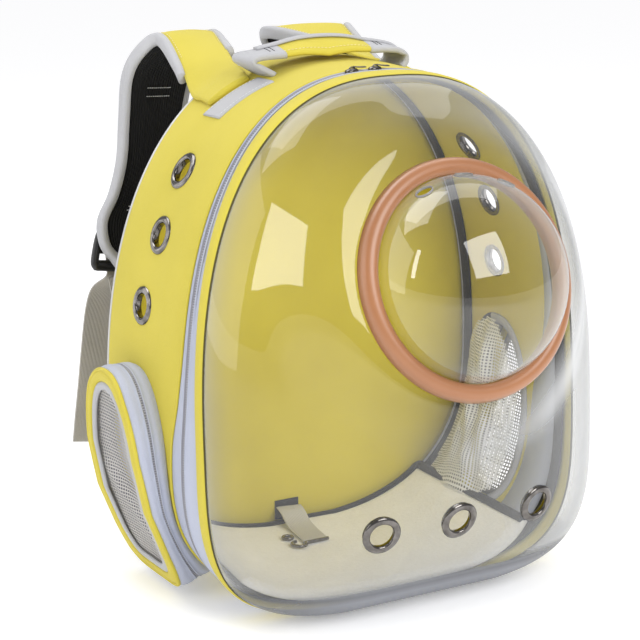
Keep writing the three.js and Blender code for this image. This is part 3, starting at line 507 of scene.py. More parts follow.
def cloth_material(name, light, dark, pitch, weave=0.5, rough=0.7, sheen=0.08, folds=0.3,
                   ribs=False, fold_scale=28.0, thread=0.18):
    """Woven cloth: a weave in texture coordinates, soft folds and uneven colour."""
    material, nodes, links, bsdf = shader(name)
    coords = nodes.new("ShaderNodeTexCoord")
    parts = nodes.new("ShaderNodeSeparateXYZ")
    links.new(coords.outputs["UV"], parts.inputs[0])
    turns = 2 * math.pi / (pitch * MM)
    across = math_node(nodes, links, "SINE", math_node(
        nodes, links, "MULTIPLY", parts.outputs["X"], turns))
    along = math_node(nodes, links, "SINE", math_node(
        nodes, links, "MULTIPLY", parts.outputs["Y"], turns))
    threads = across if ribs else math_node(nodes, links, "MULTIPLY", across, along)
    patches = noise_node(nodes, links, coords.outputs["Object"], 9.0, 4.0)
    grain = noise_node(nodes, links, coords.outputs["Object"], 900.0, 2.0)
    blend = math_node(
        nodes, links, "ADD", patches, math_node(
            nodes, links, "MULTIPLY", math_node(nodes, links, "SUBTRACT", grain, 0.5), 0.35))
    colour = ramp_node(nodes, links, blend, [(0.30, dark), (0.62, light)])
    links.new(colour, bsdf.inputs["Base Color"])
    soft = noise_node(nodes, links, coords.outputs["Object"], fold_scale, 2.0)
    creased = bump_node(nodes, links, soft, folds, 0.003)
    woven = bump_node(nodes, links, threads, weave, thread * MM, creased)
    links.new(woven, bsdf.inputs["Normal"])
    uneven = math_node(
        nodes, links, "ADD", rough - 0.06, math_node(nodes, links, "MULTIPLY", patches, 0.12))
    links.new(uneven, bsdf.inputs["Roughness"])
    bsdf.inputs["Sheen Weight"].default_value = sheen
    bsdf.inputs["Sheen Roughness"].default_value = 0.5
    bsdf.inputs["Specular IOR Level"].default_value = 0.25
    return material


def fleece_material(name, light, dark):
    material, nodes, links, bsdf = shader(name)
    coords = nodes.new("ShaderNodeTexCoord")
    pile = noise_node(nodes, links, coords.outputs["Object"], 420.0, 6.0)
    lumps = noise_node(nodes, links, coords.outputs["Object"], 30.0, 3.0)
    blend = math_node(nodes, links, "ADD", math_node(
        nodes, links, "MULTIPLY", pile, 0.55), math_node(nodes, links, "MULTIPLY", lumps, 0.45))
    links.new(
        ramp_node(nodes, links, blend, [(0.3, dark), (0.62, light)]), bsdf.inputs["Base Color"])
    normal = bump_node(nodes, links, pile, 0.6, 0.0012)
    links.new(bump_node(nodes, links, lumps, 0.4, 0.004, normal), bsdf.inputs["Normal"])
    bsdf.inputs["Roughness"].default_value = 0.95
    bsdf.inputs["Sheen Weight"].default_value = 0.5
    bsdf.inputs["Specular IOR Level"].default_value = 0.2
    return material


def plastic_material(name, light, dark, rough, coat=0.0, coat_rough=0.03, bump=0.15):
    material, nodes, links, bsdf = shader(name)
    coords = nodes.new("ShaderNodeTexCoord")
    cloud = noise_node(nodes, links, coords.outputs["Object"], 14.0, 3.0)
    links.new(
        ramp_node(nodes, links, cloud, [(0.3, dark), (0.7, light)]), bsdf.inputs["Base Color"])
    fine = noise_node(nodes, links, coords.outputs["Object"], 260.0, 3.0)
    links.new(bump_node(nodes, links, fine, bump, 0.0002), bsdf.inputs["Normal"])
    links.new(math_node(nodes, links, "ADD", rough - 0.03, math_node(
        nodes, links, "MULTIPLY", cloud, 0.06)), bsdf.inputs["Roughness"])
    bsdf.inputs["Coat Weight"].default_value = coat
    bsdf.inputs["Coat Roughness"].default_value = coat_rough
    return material


def metal_material(name, light, dark, rough):
    material, nodes, links, bsdf = shader(name)
    coords = nodes.new("ShaderNodeTexCoord")
    cloud = noise_node(nodes, links, coords.outputs["Object"], 160.0, 4.0)
    links.new(
        ramp_node(nodes, links, cloud, [(0.35, dark), (0.65, light)]), bsdf.inputs["Base Color"])
    scratch = noise_node(nodes, links, coords.outputs["Object"], 900.0, 2.0)
    links.new(bump_node(nodes, links, scratch, 0.12, 0.0001), bsdf.inputs["Normal"])
    links.new(math_node(nodes, links, "ADD", rough - 0.05, math_node(
        nodes, links, "MULTIPLY", cloud, 0.1)), bsdf.inputs["Roughness"])
    bsdf.inputs["Metallic"].default_value = 1.0
    return material


# The clear shell's grey foot band is painted shade, a painted reflection of the dark underside, in
# metres: where it fades in below, and how it thins sideways
BAND_TOP, BAND_FULL = 0.037, 0.030
BAND_MIDDLE, BAND_SIDE, BAND_SIDE_SHARE = 0.06, 0.16, 0.45
BAND_COLOUR_HEIGHT = 0.042
# The dark stops low down are painted shade at the shell's foot; the last stop is the milky haze
# colour.
MILK_AND_FOOT_SHADE_COLOURS = [
    # share of that height, colour
    (0.02, (0.12, 0.125, 0.145)), (0.16, (0.19, 0.20, 0.225)), (0.50, (0.24, 0.25, 0.28)),
    (0.66, (0.15, 0.155, 0.175)), (0.78, (0.19, 0.20, 0.22)), (0.95, (0.66, 0.67, 0.68)),
]


def clear_material(name, tint, edge, haze, shine=0.05, foot=0.0):
    """Clear plastic skin: see-through, milkier and greyer at its edges, with painted shade at its
    foot.
    """
    material = bpy.data.materials.new(name)
    material.use_nodes = True
    nodes = material.node_tree.nodes
    links = material.node_tree.links
    nodes.clear()
    out = nodes.new("ShaderNodeOutputMaterial")
    weight = nodes.new("ShaderNodeLayerWeight")
    weight.inputs["Blend"].default_value = 0.5
    facing = weight.outputs["Facing"]
    through = nodes.new("ShaderNodeBsdfTransparent")
    middle = tuple(0.42 * a + 0.58 * b for a, b in zip(tint, edge))
    rim = tuple(0.42 * c for c in edge)
    links.new(
        ramp_node(nodes, links, facing, [(0.22, tint), (0.50, middle), (0.84, edge), (0.99, rim)]),
        through.inputs["Color"])
    milk = nodes.new("ShaderNodeBsdfDiffuse")
    coords = nodes.new("ShaderNodeTexCoord")
    place = nodes.new("ShaderNodeSeparateXYZ")
    links.new(coords.outputs["Object"], place.inputs[0])
    # Mask of the painted shade band at the shell's foot: it fades out upwards and thins sideways.
    low = nodes.new("ShaderNodeMapRange")
    low.interpolation_type = "SMOOTHSTEP"
    low.inputs["From Min"].default_value = BAND_TOP
    low.inputs["From Max"].default_value = BAND_FULL
    links.new(place.outputs["Z"], low.inputs["Value"])
    sideways = nodes.new("ShaderNodeMapRange")
    sideways.interpolation_type = "SMOOTHSTEP"
    sideways.inputs["From Min"].default_value = BAND_MIDDLE
    sideways.inputs["From Max"].default_value = BAND_SIDE
    sideways.inputs["To Min"].default_value = foot
    sideways.inputs["To Max"].default_value = BAND_SIDE_SHARE * foot
    links.new(math_node(nodes, links, "ABSOLUTE", place.outputs["X"]), sideways.inputs["Value"])
    low = math_node(nodes, links, "MULTIPLY", low.outputs["Result"], sideways.outputs["Result"])
    # The diffuse colour darkens towards the foot. This is painted shade standing in for the dark
    # underside seen in the clear plastic.
    height = math_node(nodes, links, "DIVIDE", place.outputs["Z"], BAND_COLOUR_HEIGHT)
    links.new(ramp_node(nodes, links, height, MILK_AND_FOOT_SHADE_COLOURS), milk.inputs["Color"])
    clouds = noise_node(nodes, links, coords.outputs["Object"], 7.0, 2.0)
    share = math_node(nodes, links, "MULTIPLY", math_node(
        nodes, links, "POWER", facing, 2.1), haze)
    share = math_node(nodes, links, "ADD", share, math_node(
        nodes, links, "MULTIPLY", clouds, haze * 0.03))
    # The painted foot shade takes over the milky share low on the shell.
    share = math_node(nodes, links, "MAXIMUM", share, low)
    body = nodes.new("ShaderNodeMixShader")
    links.new(share, body.inputs["Fac"])
    links.new(through.outputs[0], body.inputs[1])
    links.new(milk.outputs[0], body.inputs[2])
    mirror_part = nodes.new("ShaderNodeBsdfGlossy")
    mirror_part.inputs["Color"].default_value = (1, 1, 1, 1)
    mirror_part.inputs["Roughness"].default_value = 0.035
    ripple = noise_node(nodes, links, coords.outputs["Object"], 6.0, 1.0)
    links.new(bump_node(nodes, links, ripple, 0.08, 0.004), mirror_part.inputs["Normal"])
    reflect = math_node(nodes, links, "ADD", math_node(
        nodes, links, "MULTIPLY", math_node(nodes, links, "POWER", facing, 4.0), 0.34), shine)
    whole = nodes.new("ShaderNodeMixShader")
    links.new(reflect, whole.inputs["Fac"])
    links.new(body.outputs[0], whole.inputs[1])
    links.new(mirror_part.outputs[0], whole.inputs[2])
    links.new(whole.outputs[0], out.inputs["Surface"])
    return material


YELLOW = cloth_material("yellow_oxford", (0.665, 0.56, 0.066), (0.595, 0.50, 0.050), 0.9)
YELLOW_INSIDE = cloth_material(
    "yellow_lining", (0.68, 0.565, 0.045), (0.59, 0.48, 0.034), 0.9, weave=0.15, folds=0.2,
    fold_scale=14.0)
PALE = cloth_material("pale_tape", (0.51, 0.512, 0.53), (0.45, 0.452, 0.47), 1.0, weave=0.6)
PALE_BLUE = cloth_material(
    "pale_gusset", (0.51, 0.54, 0.655), (0.45, 0.48, 0.59), 1.0, weave=0.6)
WHITE = cloth_material("white_cord", (0.72, 0.72, 0.73), (0.62, 0.62, 0.63), 0.8, ribs=True)
BLACK = cloth_material(
    "black_tape", (0.030, 0.031, 0.034), (0.014, 0.014, 0.016), 1.1, weave=0.8, ribs=True)
AIR_MESH = cloth_material(
    "black_air_mesh", (0.011, 0.011, 0.011), (0.004, 0.004, 0.004), 2.4, weave=1.0, sheen=0.0,
    ribs=True, thread=0.7)
WEBBING = cloth_material(
    "grey_webbing", (0.55, 0.525, 0.485), (0.44, 0.42, 0.385), 1.3, weave=0.9, ribs=True)
NET = cloth_material("net_yarn", (0.93, 0.93, 0.925), (0.85, 0.85, 0.845), 0.6)
DOOR_NET = cloth_material("door_net_yarn", (0.60, 0.58, 0.56), (0.50, 0.48, 0.46), 0.6)
THREAD = cloth_material("thread", (0.93, 0.86, 0.55), (0.82, 0.74, 0.42), 0.4)
PALE_THREAD = cloth_material("pale_thread", (0.86, 0.86, 0.86), (0.74, 0.74, 0.74), 0.4)
FLEECE = fleece_material("cream_fleece", (0.93, 0.915, 0.875), (0.84, 0.82, 0.77))
PEACH = plastic_material(
    "peach_plastic", (0.37, 0.142, 0.044), (0.32, 0.118, 0.033), 0.42, coat=1.0,
    coat_rough=0.34)
COIL = plastic_material("coil_plastic", (0.56, 0.56, 0.61), (0.45, 0.45, 0.50), 0.4)
BLACK_PLASTIC = plastic_material("black_plastic", (0.025, 0.025, 0.027), (0.012,) * 3, 0.38)
PEWTER = metal_material("pewter", (0.23, 0.215, 0.205), (0.12, 0.112, 0.105), 0.13)
# Darker grey for the faces deep in the zip grooves: painted shade.
GROOVE_SHADE = plastic_material("zip_groove_shade", (0.34, 0.34, 0.38), (0.26, 0.26, 0.30), 0.6)
# Dark olive colour for a thin cord that is painted shadow along the rim's front edge.
RIM_SHADOW = cloth_material("painted_rim_shadow", (0.10, 0.085, 0.018), (0.06, 0.05, 0.012), 0.8)
LIGHT_WEBBING = cloth_material(
    "light_webbing", (0.66, 0.64, 0.58), (0.54, 0.52, 0.46), 1.3, weave=0.9, ribs=True)
# The last value sets the strength of the painted shade at the shell's foot.
SHELL = clear_material(
    "clear_shell", (0.97, 0.97, 0.965), (0.57, 0.58, 0.59), 0.84, 0.052, 0.95)
DOME = clear_material("clear_dome", (0.985, 0.985, 0.98), (0.84, 0.84, 0.85), 0.46, 0.085)
# Dark grey for the rings round the dome's air holes: painted shade standing in for the shade
# inside the holes.
HOLE_EDGE = plastic_material("hole_edge", (0.30, 0.29, 0.27), (0.16, 0.15, 0.14), 0.2)

# Fabric body

ANGLES = equal_angles(420, front_outline)


def band_rows(profile, angles=ANGLES):
    """Loops round the body; each is (millimetres from the rim at each angle, height)."""
    depth = depth_at(angles)
    rows = []
    for place, height in profile:
        share = np.broadcast_to(np.asarray(place, float), angles.shape) / depth
        normal = band_normal(angles, share)
        rows.append(band_point(angles, share) + normal * np.asarray(height)[..., None])
    rows = np.array(rows)
    rows[..., 2] = np.maximum(rows[..., 2], 0.0)
    return rows


def band_piece(name, profile, material, replaces=()):
    rows = band_rows(profile)
    return piece(name, grid(rows, wrap_rows=True, wrap_cols=True), material, replaces)


DEPTHS = depth_at(ANGLES)
RIM_AT = seam_share(ANGLES, RIM_SEAM) * DEPTHS
COIL_AT = seam_share(ANGLES, COIL_SEAM) * DEPTHS
REAR_AT = seam_share(ANGLES, REAR_SEAM) * DEPTHS
ZERO = np.zeros_like(ANGLES)

# A thin dark cord along the rim's front edge, where the shell meets it: painted shadow.
rim_shadow_line = band_rows([(ZERO + 0.2, -1.0)])[0] - [0, 0.5, 0]
piece("rim_shadow_line", swept(rim_shadow_line, round_profile(0.9, 8), closed=True), RIM_SHADOW)
band_piece("rim_cloth", [
    (ZERO, -3.0), (ZERO - 0.5, -1.6), (ZERO - 0.3, -0.2), (ZERO + 0.8, 0.7), (ZERO + 3.0, 1.3),
    (RIM_AT * 0.5, 1.5), (RIM_AT - 2.5, 1.1), (RIM_AT - 0.8, 0.5), (RIM_AT - 0.2, -0.4),
    (RIM_AT - 0.2, -3.0),
], YELLOW, ["front_rim"])

NARROW = np.clip((REAR_AT - RIM_AT) / 2 - 0.5, 1.0, 4.0) / 4.0
zip_tape = band_piece("zip_tape", [
    (RIM_AT + 0.2, -4.0), (RIM_AT + 0.2, -0.9), (RIM_AT + 1.2, -0.3),
    (mix(RIM_AT, COIL_AT, 0.5), 0.5), (COIL_AT - 4.0 * NARROW, 0.3),
    (COIL_AT - 3.2 * NARROW, 1.0), (COIL_AT - 2.4 * NARROW, 0.9), (COIL_AT - 2.2 * NARROW, -2.2),
    (COIL_AT + 2.2 * NARROW, -2.2), (COIL_AT + 2.4 * NARROW, 0.9), (COIL_AT + 3.2 * NARROW, 1.0),
    (COIL_AT + 4.0 * NARROW, 0.3), (mix(COIL_AT, REAR_AT, 0.55), 0.6), (REAR_AT - 1.0, 0.0),
    (REAR_AT - 0.1, -0.8), (REAR_AT - 0.1, -4.0),
], PALE_BLUE, ["zip_band"])
# The groove's walls and bottom get the darker material: painted shade in the groove.
line_rows(zip_tape, len(ANGLES), (6, 7, 8), GROOVE_SHADE)


def teeth(path, up, side, pitch, width, size=0.75):
    """Zip coil: low blocks across a path."""
    parts = []
    along = np.concatenate([[0], np.cumsum(np.linalg.norm(np.diff(path, axis=0), axis=1))])
    count = int(along[-1] / pitch)
    at = (np.arange(count) + 0.5) * along[-1] / count
    centre, high, across = (
        np.stack([np.interp(at, along, v[:, j]) for j in range(3)], -1)
        for v in (path, up, side))
    high, across = unit(high), unit(across)
    run = np.cross(across, high)
    for k in range(count):
        rows = []
        for end, tall in ((-0.5, 0.2), (-0.42, 1.0), (0.42, 1.0), (0.5, 0.2)):
            c = centre[k] + across[k] * width * end
            rows.append([c - run[k] * size / 2, c - run[k] * size / 2 + high[k] * tall,
                         c + run[k] * size / 2 + high[k] * tall, c + run[k] * size / 2])
        parts.append(capped(np.array(rows)))
    return joined(parts)


def closed_line(row):
    return np.concatenate([row, row[:1]])


coil_line = band_rows([(COIL_AT, -0.9)])[0]
coil_up = band_normal(ANGLES, COIL_AT / DEPTHS)
coil_run = unit(np.roll(coil_line, -1, axis=0) - np.roll(coil_line, 1, axis=0))
piece("zip_coil", teeth(
    closed_line(coil_line), closed_line(coil_up),
    closed_line(np.cross(coil_up, coil_run)), 1.9, 2.9), COIL)
piping_line = band_rows([(REAR_AT + 0.6, 0.3)])[0]
piece("zip_piping", swept(piping_line, round_profile(1.15, 8), band_normal(
    ANGLES, REAR_AT / DEPTHS), closed=True), YELLOW)

# Yellow band with its openings: the mesh is fine, and the cut edges lie under the fittings.
side_points = {}
for index, (height_share, share) in enumerate(SIDE_EYELETS):
    at = angle_at_height(height_share * FRONT["height"], share)
    side_points[index] = (band_point(at, share), band_normal(at, share))


def door_place(round_angle, shrink):
    power = np.where(np.sin(round_angle) > 0, 2 / DOOR_CROWN, 2 / DOOR_FOOT)
    c, s = np.cos(round_angle), np.sin(round_angle)
    half_share = DOOR_HALF_SHARE - shrink / DEPTH
    half_height = DOOR_HALF - shrink
    share = DOOR_SHARE + half_share * np.sign(c) * np.abs(c) ** power
    height = DOOR_CENTRE + half_height * np.sign(s) * np.abs(s) ** power
    return share, height


def inside_door(share, height, shrink):
    x = np.abs((share - DOOR_SHARE) / (DOOR_HALF_SHARE - shrink / DEPTH))
    z = (height - DOOR_CENTRE) / (DOOR_HALF - shrink)
    power = np.where(z > 0, DOOR_CROWN, DOOR_FOOT)
    return x ** power + np.abs(z) ** power < 1


def opening_angle(height, share):
    """Where on the band a height of the door's face has its place round the opening."""
    above = height - (DOOR_CENTRE - DOOR_HALF)
    return angle_at_height(height + DOOR_RAISE * (1 - smooth(above / DOOR_RAISE_FADE)), share)


def seam_point(round_angle, shrink, out):
    share, height = door_place(round_angle, shrink)
    at = opening_angle(height, share)
    return band_point(at, share) + band_normal(at, share) * np.asarray(out)[..., None]


def face_point(round_angle, shrink, out):
    share, height = door_place(round_angle, shrink)
    x = np.interp(height, DOOR_FACE[:, 0], DOOR_FACE[:, 1])
    y = band_point(angle_at_height(height, share), share)[..., 1]
    return np.stack([x + out, y, height], -1)


def door_outline(round_angle):
    share, height = door_place(round_angle, 0.0)
    return share * DEPTH, height


DOOR_ROUNDS = equal_angles(150, door_outline)


def side_band():
    steps = np.linspace(0, 1, 70)
    start = seam_share(ANGLES, REAR_SEAM) + GAP / DEPTH
    share = mix(start[None], 1.0, steps[:, None])
    angle = np.broadcast_to(ANGLES, share.shape)
    base = band_point(angle, share)
    normal = band_normal(angle, share)
    billow = np.sin(math.pi * steps)[:, None] ** 0.6
    height = 1.8 * billow + 0.9 * billow * wobble(base * [1, 1, 0.6], 55, 3.1)
    for side in (-1, 1):
        for point, _ in side_points.values():
            away = np.linalg.norm(base - mirror(point, side), axis=-1)
            pull = np.exp(-((away / 26) ** 2))
            height = height * (1 - pull) + 0.1 * pull
    ground = smooth((base[..., 2] - 4) / 30)
    height = height * np.where(normal[..., 2] < 0, ground, 1)
    outer = base + normal * height[..., None]
    inner = base - normal * CLOTH
    points, faces, uvs = grid(
        np.concatenate([outer, inner[::-1]]), wrap_rows=True, wrap_cols=True)
    faces = np.asarray(faces)
    centre = points[faces].mean(axis=1)
    keep = np.ones(len(faces), bool)
    for side in (-1, 1):
        for point, axis in side_points.values():
            offset = centre - mirror(point, side)
            along = offset @ mirror(axis, side)
            away = np.linalg.norm(offset - along[:, None] * mirror(axis, side), axis=1)
            keep &= ~((away < EYELET_INNER + 1.6) & (np.abs(along) < 12))
        raised = centre[:, 2] - DOOR_RAISE * (1 - smooth((centre[:, 2] - 18) / DOOR_RAISE_FADE))
        lean = RIM_LEAN * np.clip(raised, 0, FRONT["height"]) / FRONT["height"]
        shares = (centre[:, 1] + DEPTH / 2 - lean) / (DEPTH - lean)
        within = inside_door(shares, raised, 4.0) & (np.abs(centre[:, 0]) > 60)
        keep &= ~(within & (np.sign(centre[:, 0]) == side))
    uvs = uvs.reshape(-1, 4, 2)[keep].reshape(-1, 2)
    return points, faces[keep], uvs


piece("side_cloth", side_band(), YELLOW, ["side_band"])


def back_ring(inset, y):
    x, z = outline_point(BACK, ANGLES, inset)
    return np.stack([x, np.broadcast_to(np.asarray(y, float), x.shape), z], -1)


PIPING = 2.2
back_line = back_ring(PIPING, DEPTH / 2 + GAP + PIPING)
piece("back_piping_cord", swept(back_line, round_profile(PIPING, 12), closed=True), WHITE,
      ["back_piping"])

inner_tape = [(-0.5, -0.35), (-0.42, -1.35), (0.0, -1.9), (0.42, -1.35), (0.5, -0.35)]
band_piece("front_tape", [
    (RIM_AT + 12 * place, -4.3 + height) for place, height in inner_tape
], BLACK, ["inner_binding_front"])
band_piece("back_tape", [
    (DEPTHS - 6.5 + 12 * place, -3.3 + height * 1.1) for place, height in inner_tape
], BLACK, ["inner_binding_back"])


def back_plate(inset, front_y, back_y, crown_front, crown_back, rows=26):
    """A padded plate with the back's outline, crowned on both faces."""
    def face(y, crown, order):
        loops = []
        for t in order:
            loops.append(mix(
                back_ring(inset, y), np.array([0.0, y, BACK["height"] * 0.46]), t))
            loops[-1][:, 1] = y + crown * np.sin(math.pi / 2 * min(1.0, t * 3.2)) ** 0.8
        return loops
    order = np.linspace(0, 0.985, rows) ** 1.15
    front = face(front_y, -crown_front, order)[::-1]
    back = face(back_y, crown_back, order)
    return capped(np.array(front + back))


BACK_PLANE = DEPTH / 2 + GAP
panel = piece("back_wall", back_plate(4.8, BACK_PLANE + 0.4, BACK_PLANE + 4.6, 2.6, 0.0),
              YELLOW_INSIDE, ["back_panel"])

pad = piece("back_padding", back_plate(26, BACK_PLANE + 6.2, BACK_PLANE + 12.5, 0.0, 3.0),
            AIR_MESH, ["back_pad"])
pad_out(pad, 2.5)


CHANNELS_ACROSS = (-48, 48)
CHANNELS_UP = (130, 215, 300)


def press_channels(obj, width=3.2, depth=2.6):
    """Sewn channels on the wearer's side of the pad."""
    count = len(obj.data.vertices)
    co = np.empty(count * 3, np.float32)
    obj.data.vertices.foreach_get("co", co)
    co = co.reshape(-1, 3) / MM
    back = smooth((co[:, 1] - (BACK_PLANE + 9)) / 3)
    for x in CHANNELS_ACROSS:
        co[:, 1] -= back * depth * np.exp(-(((co[:, 0] - x) / width) ** 2))
    for z in CHANNELS_UP:
        co[:, 1] -= back * depth * np.exp(-(((co[:, 2] - z) / width) ** 2))
    obj.data.vertices.foreach_set("co", (co * MM).ravel())
    obj.data.update()


press_channels(pad)


MAT_COLS, MAT_ROWS, MAT_STEPS = 120, 60, 2000
MAT_REACH = 142.0


def floor_mat():
    """The mat follows the floor and curls up at the rounded corners."""
    length_at = np.linspace(-1, 1, MAT_COLS)
    fine = equal_angles(MAT_STEPS, front_outline)
    x, z = outline_point(FRONT, fine)
    total = np.hypot(np.diff(x), np.diff(z)).sum()
    reach = MAT_REACH * MAT_STEPS / total
    index = length_at * reach
    angle = np.interp(
        index % MAT_STEPS, np.arange(MAT_STEPS + 1), np.append(fine, fine[0] + 2 * math.pi))
    shares_at = np.linspace(0, 1, MAT_ROWS)
    start = mix(-6.0 / DEPTH, 0.095, length_at ** 2)
    share = mix(start[None], 1 - 0.2 * 12 / DEPTH, shares_at[:, None])
    angle = np.broadcast_to(angle, share.shape)
    under = band_point(angle, share, 6.9)
    normal = band_normal(angle, share)
    edge = np.minimum(
        np.minimum(shares_at, 1 - shares_at)[:, None] * 60, (1 - np.abs(length_at))[None] * 60)
    soft = np.clip(edge / 4.0, 0, 1) ** 0.5
    thick = 0.8 + 5.0 * soft + 0.9 * wobble(under, 38, 7.7) * soft
    over = under - normal * thick[..., None]
    rows = np.concatenate([over, under[::-1]])
    ends = [list(range(first, len(rows) * MAT_COLS, MAT_COLS)) for first in (0, MAT_COLS - 1)]
    points, faces, uvs = grid(rows, wrap_rows=True)
    count = len(rows)
    half = count // 2
    faces = [list(f) for f in faces]
    extra = []
    for column in ends:
        for k in range(half - 1):
            faces.append([column[k], column[k + 1], column[count - 2 - k], column[count - 1 - k]])
            extra.extend([(0, 0)] * 4)
    return points, faces, np.concatenate([uvs, np.array(extra)])


mat_shape = floor_mat()
mat = piece("cream_mat", mat_shape, FLEECE, ["floor_mat"])
mat_top = mat_shape[0].reshape(2 * MAT_ROWS, MAT_COLS, 3)[:MAT_ROWS]
edge_line = np.concatenate([
    mat_top[34:-1, 1], mat_top[-2:-1, 2:-2].reshape(-1, 3), mat_top[1:-1, -2][::-1]])
edge_line[:, 2] += 1.2
edge_line = spline(edge_line[::3], 260)
piece("mat_tape", swept(edge_line, round_profile(4.4, 10, 0.55)), BLACK)

# Clear shell


def shell_point(angle, turn):
    forward = np.sin(turn)

    def narrow(power):
        return np.maximum(0, 1 - forward ** power) ** (1 / power)

    x, z = outline_point(FRONT, angle, SHELL_INSET)
    foot = SHELL_FOOT_HEIGHT * (1 - narrow(SHELL_FOOT))
    crown = mix(SHELL_NOSE_HEIGHT, np.maximum(z, FRONT["waist"]), narrow(SHELL_TOP))
    low = (FRONT["waist"] - z) / (FRONT["waist"] - SHELL_INSET)
    height = mix(crown, foot, np.maximum(0, low))
    rim_y = -DEPTH / 2 + RIM_LEAN * height / FRONT["height"] - GAP
    return np.stack([x * narrow(SHELL_SIDE), rim_y - SHELL_REACH * forward, height], -1)


BUBBLE_AXIS = np.array([0.0, -math.cos(TILT), math.sin(TILT)])
turns = np.linspace(0, math.pi / 2, 4000)
nose_line = shell_point(np.full(4000, math.pi / 2), turns)
nose = np.array([np.interp(-BUBBLE_HEIGHT, -nose_line[:, 2], nose_line[:, k]) for k in range(3)])
SEAT = nose + BUBBLE_AXIS * SEAT_PROUD
RING_OUTER = BUBBLE_RADIUS + RING_WIDTH


def seated(points):
    offset = points - SEAT
    rise = offset @ BUBBLE_AXIS
    away = np.linalg.norm(offset - rise[..., None] * BUBBLE_AXIS, axis=-1)
    t = np.clip((away - RING_OUTER + 6) / SEAT_SOFT, 0, 1)
    press = 1 - t ** 3 * (10 - 15 * t + 6 * t * t)
    return points - (rise * press)[..., None] * BUBBLE_AXIS


def front_eyelet_places():
    places = []
    grid_angle, grid_turn = np.meshgrid(
        np.linspace(-math.pi, 0, 1200), np.linspace(0, math.pi / 2, 240), indexing="ij")
    points = shell_point(grid_angle, grid_turn)
    for k in (-1, 0, 1):
        miss = np.hypot(
            points[..., 0] - k * FRONT_EYELET_SPACING, points[..., 2] - FRONT_EYELET_HEIGHT)
        i, j = np.unravel_index(np.argmin(miss), miss.shape)
        a, t = grid_angle[i, j], grid_turn[i, j]
        along = shell_point(a + 0.01, t) - shell_point(a - 0.01, t)
        forward = shell_point(a, t + 0.01) - shell_point(a, t - 0.01)
        normal = unit(np.cross(along, forward))
        places.append((points[i, j], normal if normal[1] < 0 else -normal))
    return places


FRONT_EYELETS = front_eyelet_places()


def clear_shell():
    turn = np.radians(np.concatenate([np.linspace(0, 80, 90), np.linspace(80.5, 89.2, 12)]))
    angle = np.broadcast_to(ANGLES, (len(turn), len(ANGLES)))
    rows = seated(shell_point(angle, turn[:, None]))
    flange = rows[:1] + np.array([0.0, 1.6, 0.0]) - band_normal(ANGLES, 0.0)[None] * 1.2
    points, faces, uvs = grid(np.concatenate([flange, rows]), wrap_cols=True)
    faces = np.asarray(faces)
    centre = points[faces].mean(axis=1)
    offset = centre - SEAT
    rise = offset @ BUBBLE_AXIS
    away = np.linalg.norm(offset - rise[:, None] * BUBBLE_AXIS, axis=1)
    keep = ~((away < BUBBLE_RADIUS + 4) & (np.abs(rise) < 30))
    for point, _ in FRONT_EYELETS:
        keep &= np.linalg.norm(centre - point, axis=1) > EYELET_INNER + 1.8
    return points, faces[keep], uvs.reshape(-1, 4, 2)[keep].reshape(-1, 2)


piece("shell_skin", clear_shell(), SHELL, ["clear_shell"], close=False)

# Bubble and ring


DOME_BASE = 6.0
DOME_SIDES = 264


def on_dome(clock, rise):
    """A point of the dome and its outward direction: clock from the right, up the front."""
    right = np.array([1.0, 0.0, 0.0])
    up = np.cross(BUBBLE_AXIS, right)
    up = up if up[2] > 0 else -up
    out = (right * math.cos(clock) + up * math.sin(clock)) * math.cos(rise)
    point = SEAT + out * BUBBLE_RADIUS
    point = point + BUBBLE_AXIS * (DOME_BASE + (BUBBLE_REACH - DOME_BASE) * math.sin(rise))
    return point, unit(out / BUBBLE_RADIUS + BUBBLE_AXIS * math.sin(rise) / BUBBLE_REACH)


AIR_HOLE_CUT, AIR_HOLE_EDGE = 6.3, 6.2
AIR_HOLE_SPREAD, AIR_HOLE_RISE = 29, 15
AIR_HOLES = [
    on_dome(math.radians(90 + k * AIR_HOLE_SPREAD), math.radians(AIR_HOLE_RISE))
    for k in (-1, 0, 1)]


def bubble_dome():
    radius = BUBBLE_RADIUS - GAP
    profile = [(radius, 0.3), (radius, 2.5)]
    for a in np.linspace(0, math.pi / 2, 84)[:-1]:
        profile.append((radius * math.cos(a),
                        DOME_BASE + (BUBBLE_REACH - DOME_BASE) * math.sin(a)))
    points, faces, uvs = lathed(profile, DOME_SIDES, SEAT, BUBBLE_AXIS, closed=False)
    last = len(profile) - 1
    tip = SEAT + BUBBLE_AXIS * BUBBLE_REACH
    centre = points[np.asarray(faces)].mean(axis=1)
    keep = np.ones(len(centre), bool)
    for hole, _ in AIR_HOLES:
        keep &= np.linalg.norm(centre - hole, axis=1) > AIR_HOLE_CUT
    start = last * DOME_SIDES
    cap = [[start + k, start + (k + 1) % DOME_SIDES, len(points)] for k in range(DOME_SIDES)]
    points = np.concatenate([points, tip[None]])
    faces = [list(f) for f in np.asarray(faces)[keep]] + cap
    uvs = np.concatenate([
        uvs.reshape(-1, 4, 2)[keep].reshape(-1, 2), np.zeros((DOME_SIDES * 3, 2))])
    return points, faces, uvs


def hole_edge(point, axis):
    a = np.linspace(0, 2 * math.pi, 18, endpoint=False)
    profile = np.stack([AIR_HOLE_EDGE + np.cos(a) * 0.75, np.sin(a) * 0.95 - 0.5], -1)
    return lathed(profile, 48, point, axis)


piece("dome_skin", bubble_dome(), DOME, ["bubble_dome"], close=False)
# Dark rings at the air holes' edges: painted shade for the shade inside the holes in the clear
# dome.
piece("dome_hole_edges", joined([hole_edge(p, a) for p, a in AIR_HOLES]), HOLE_EDGE)

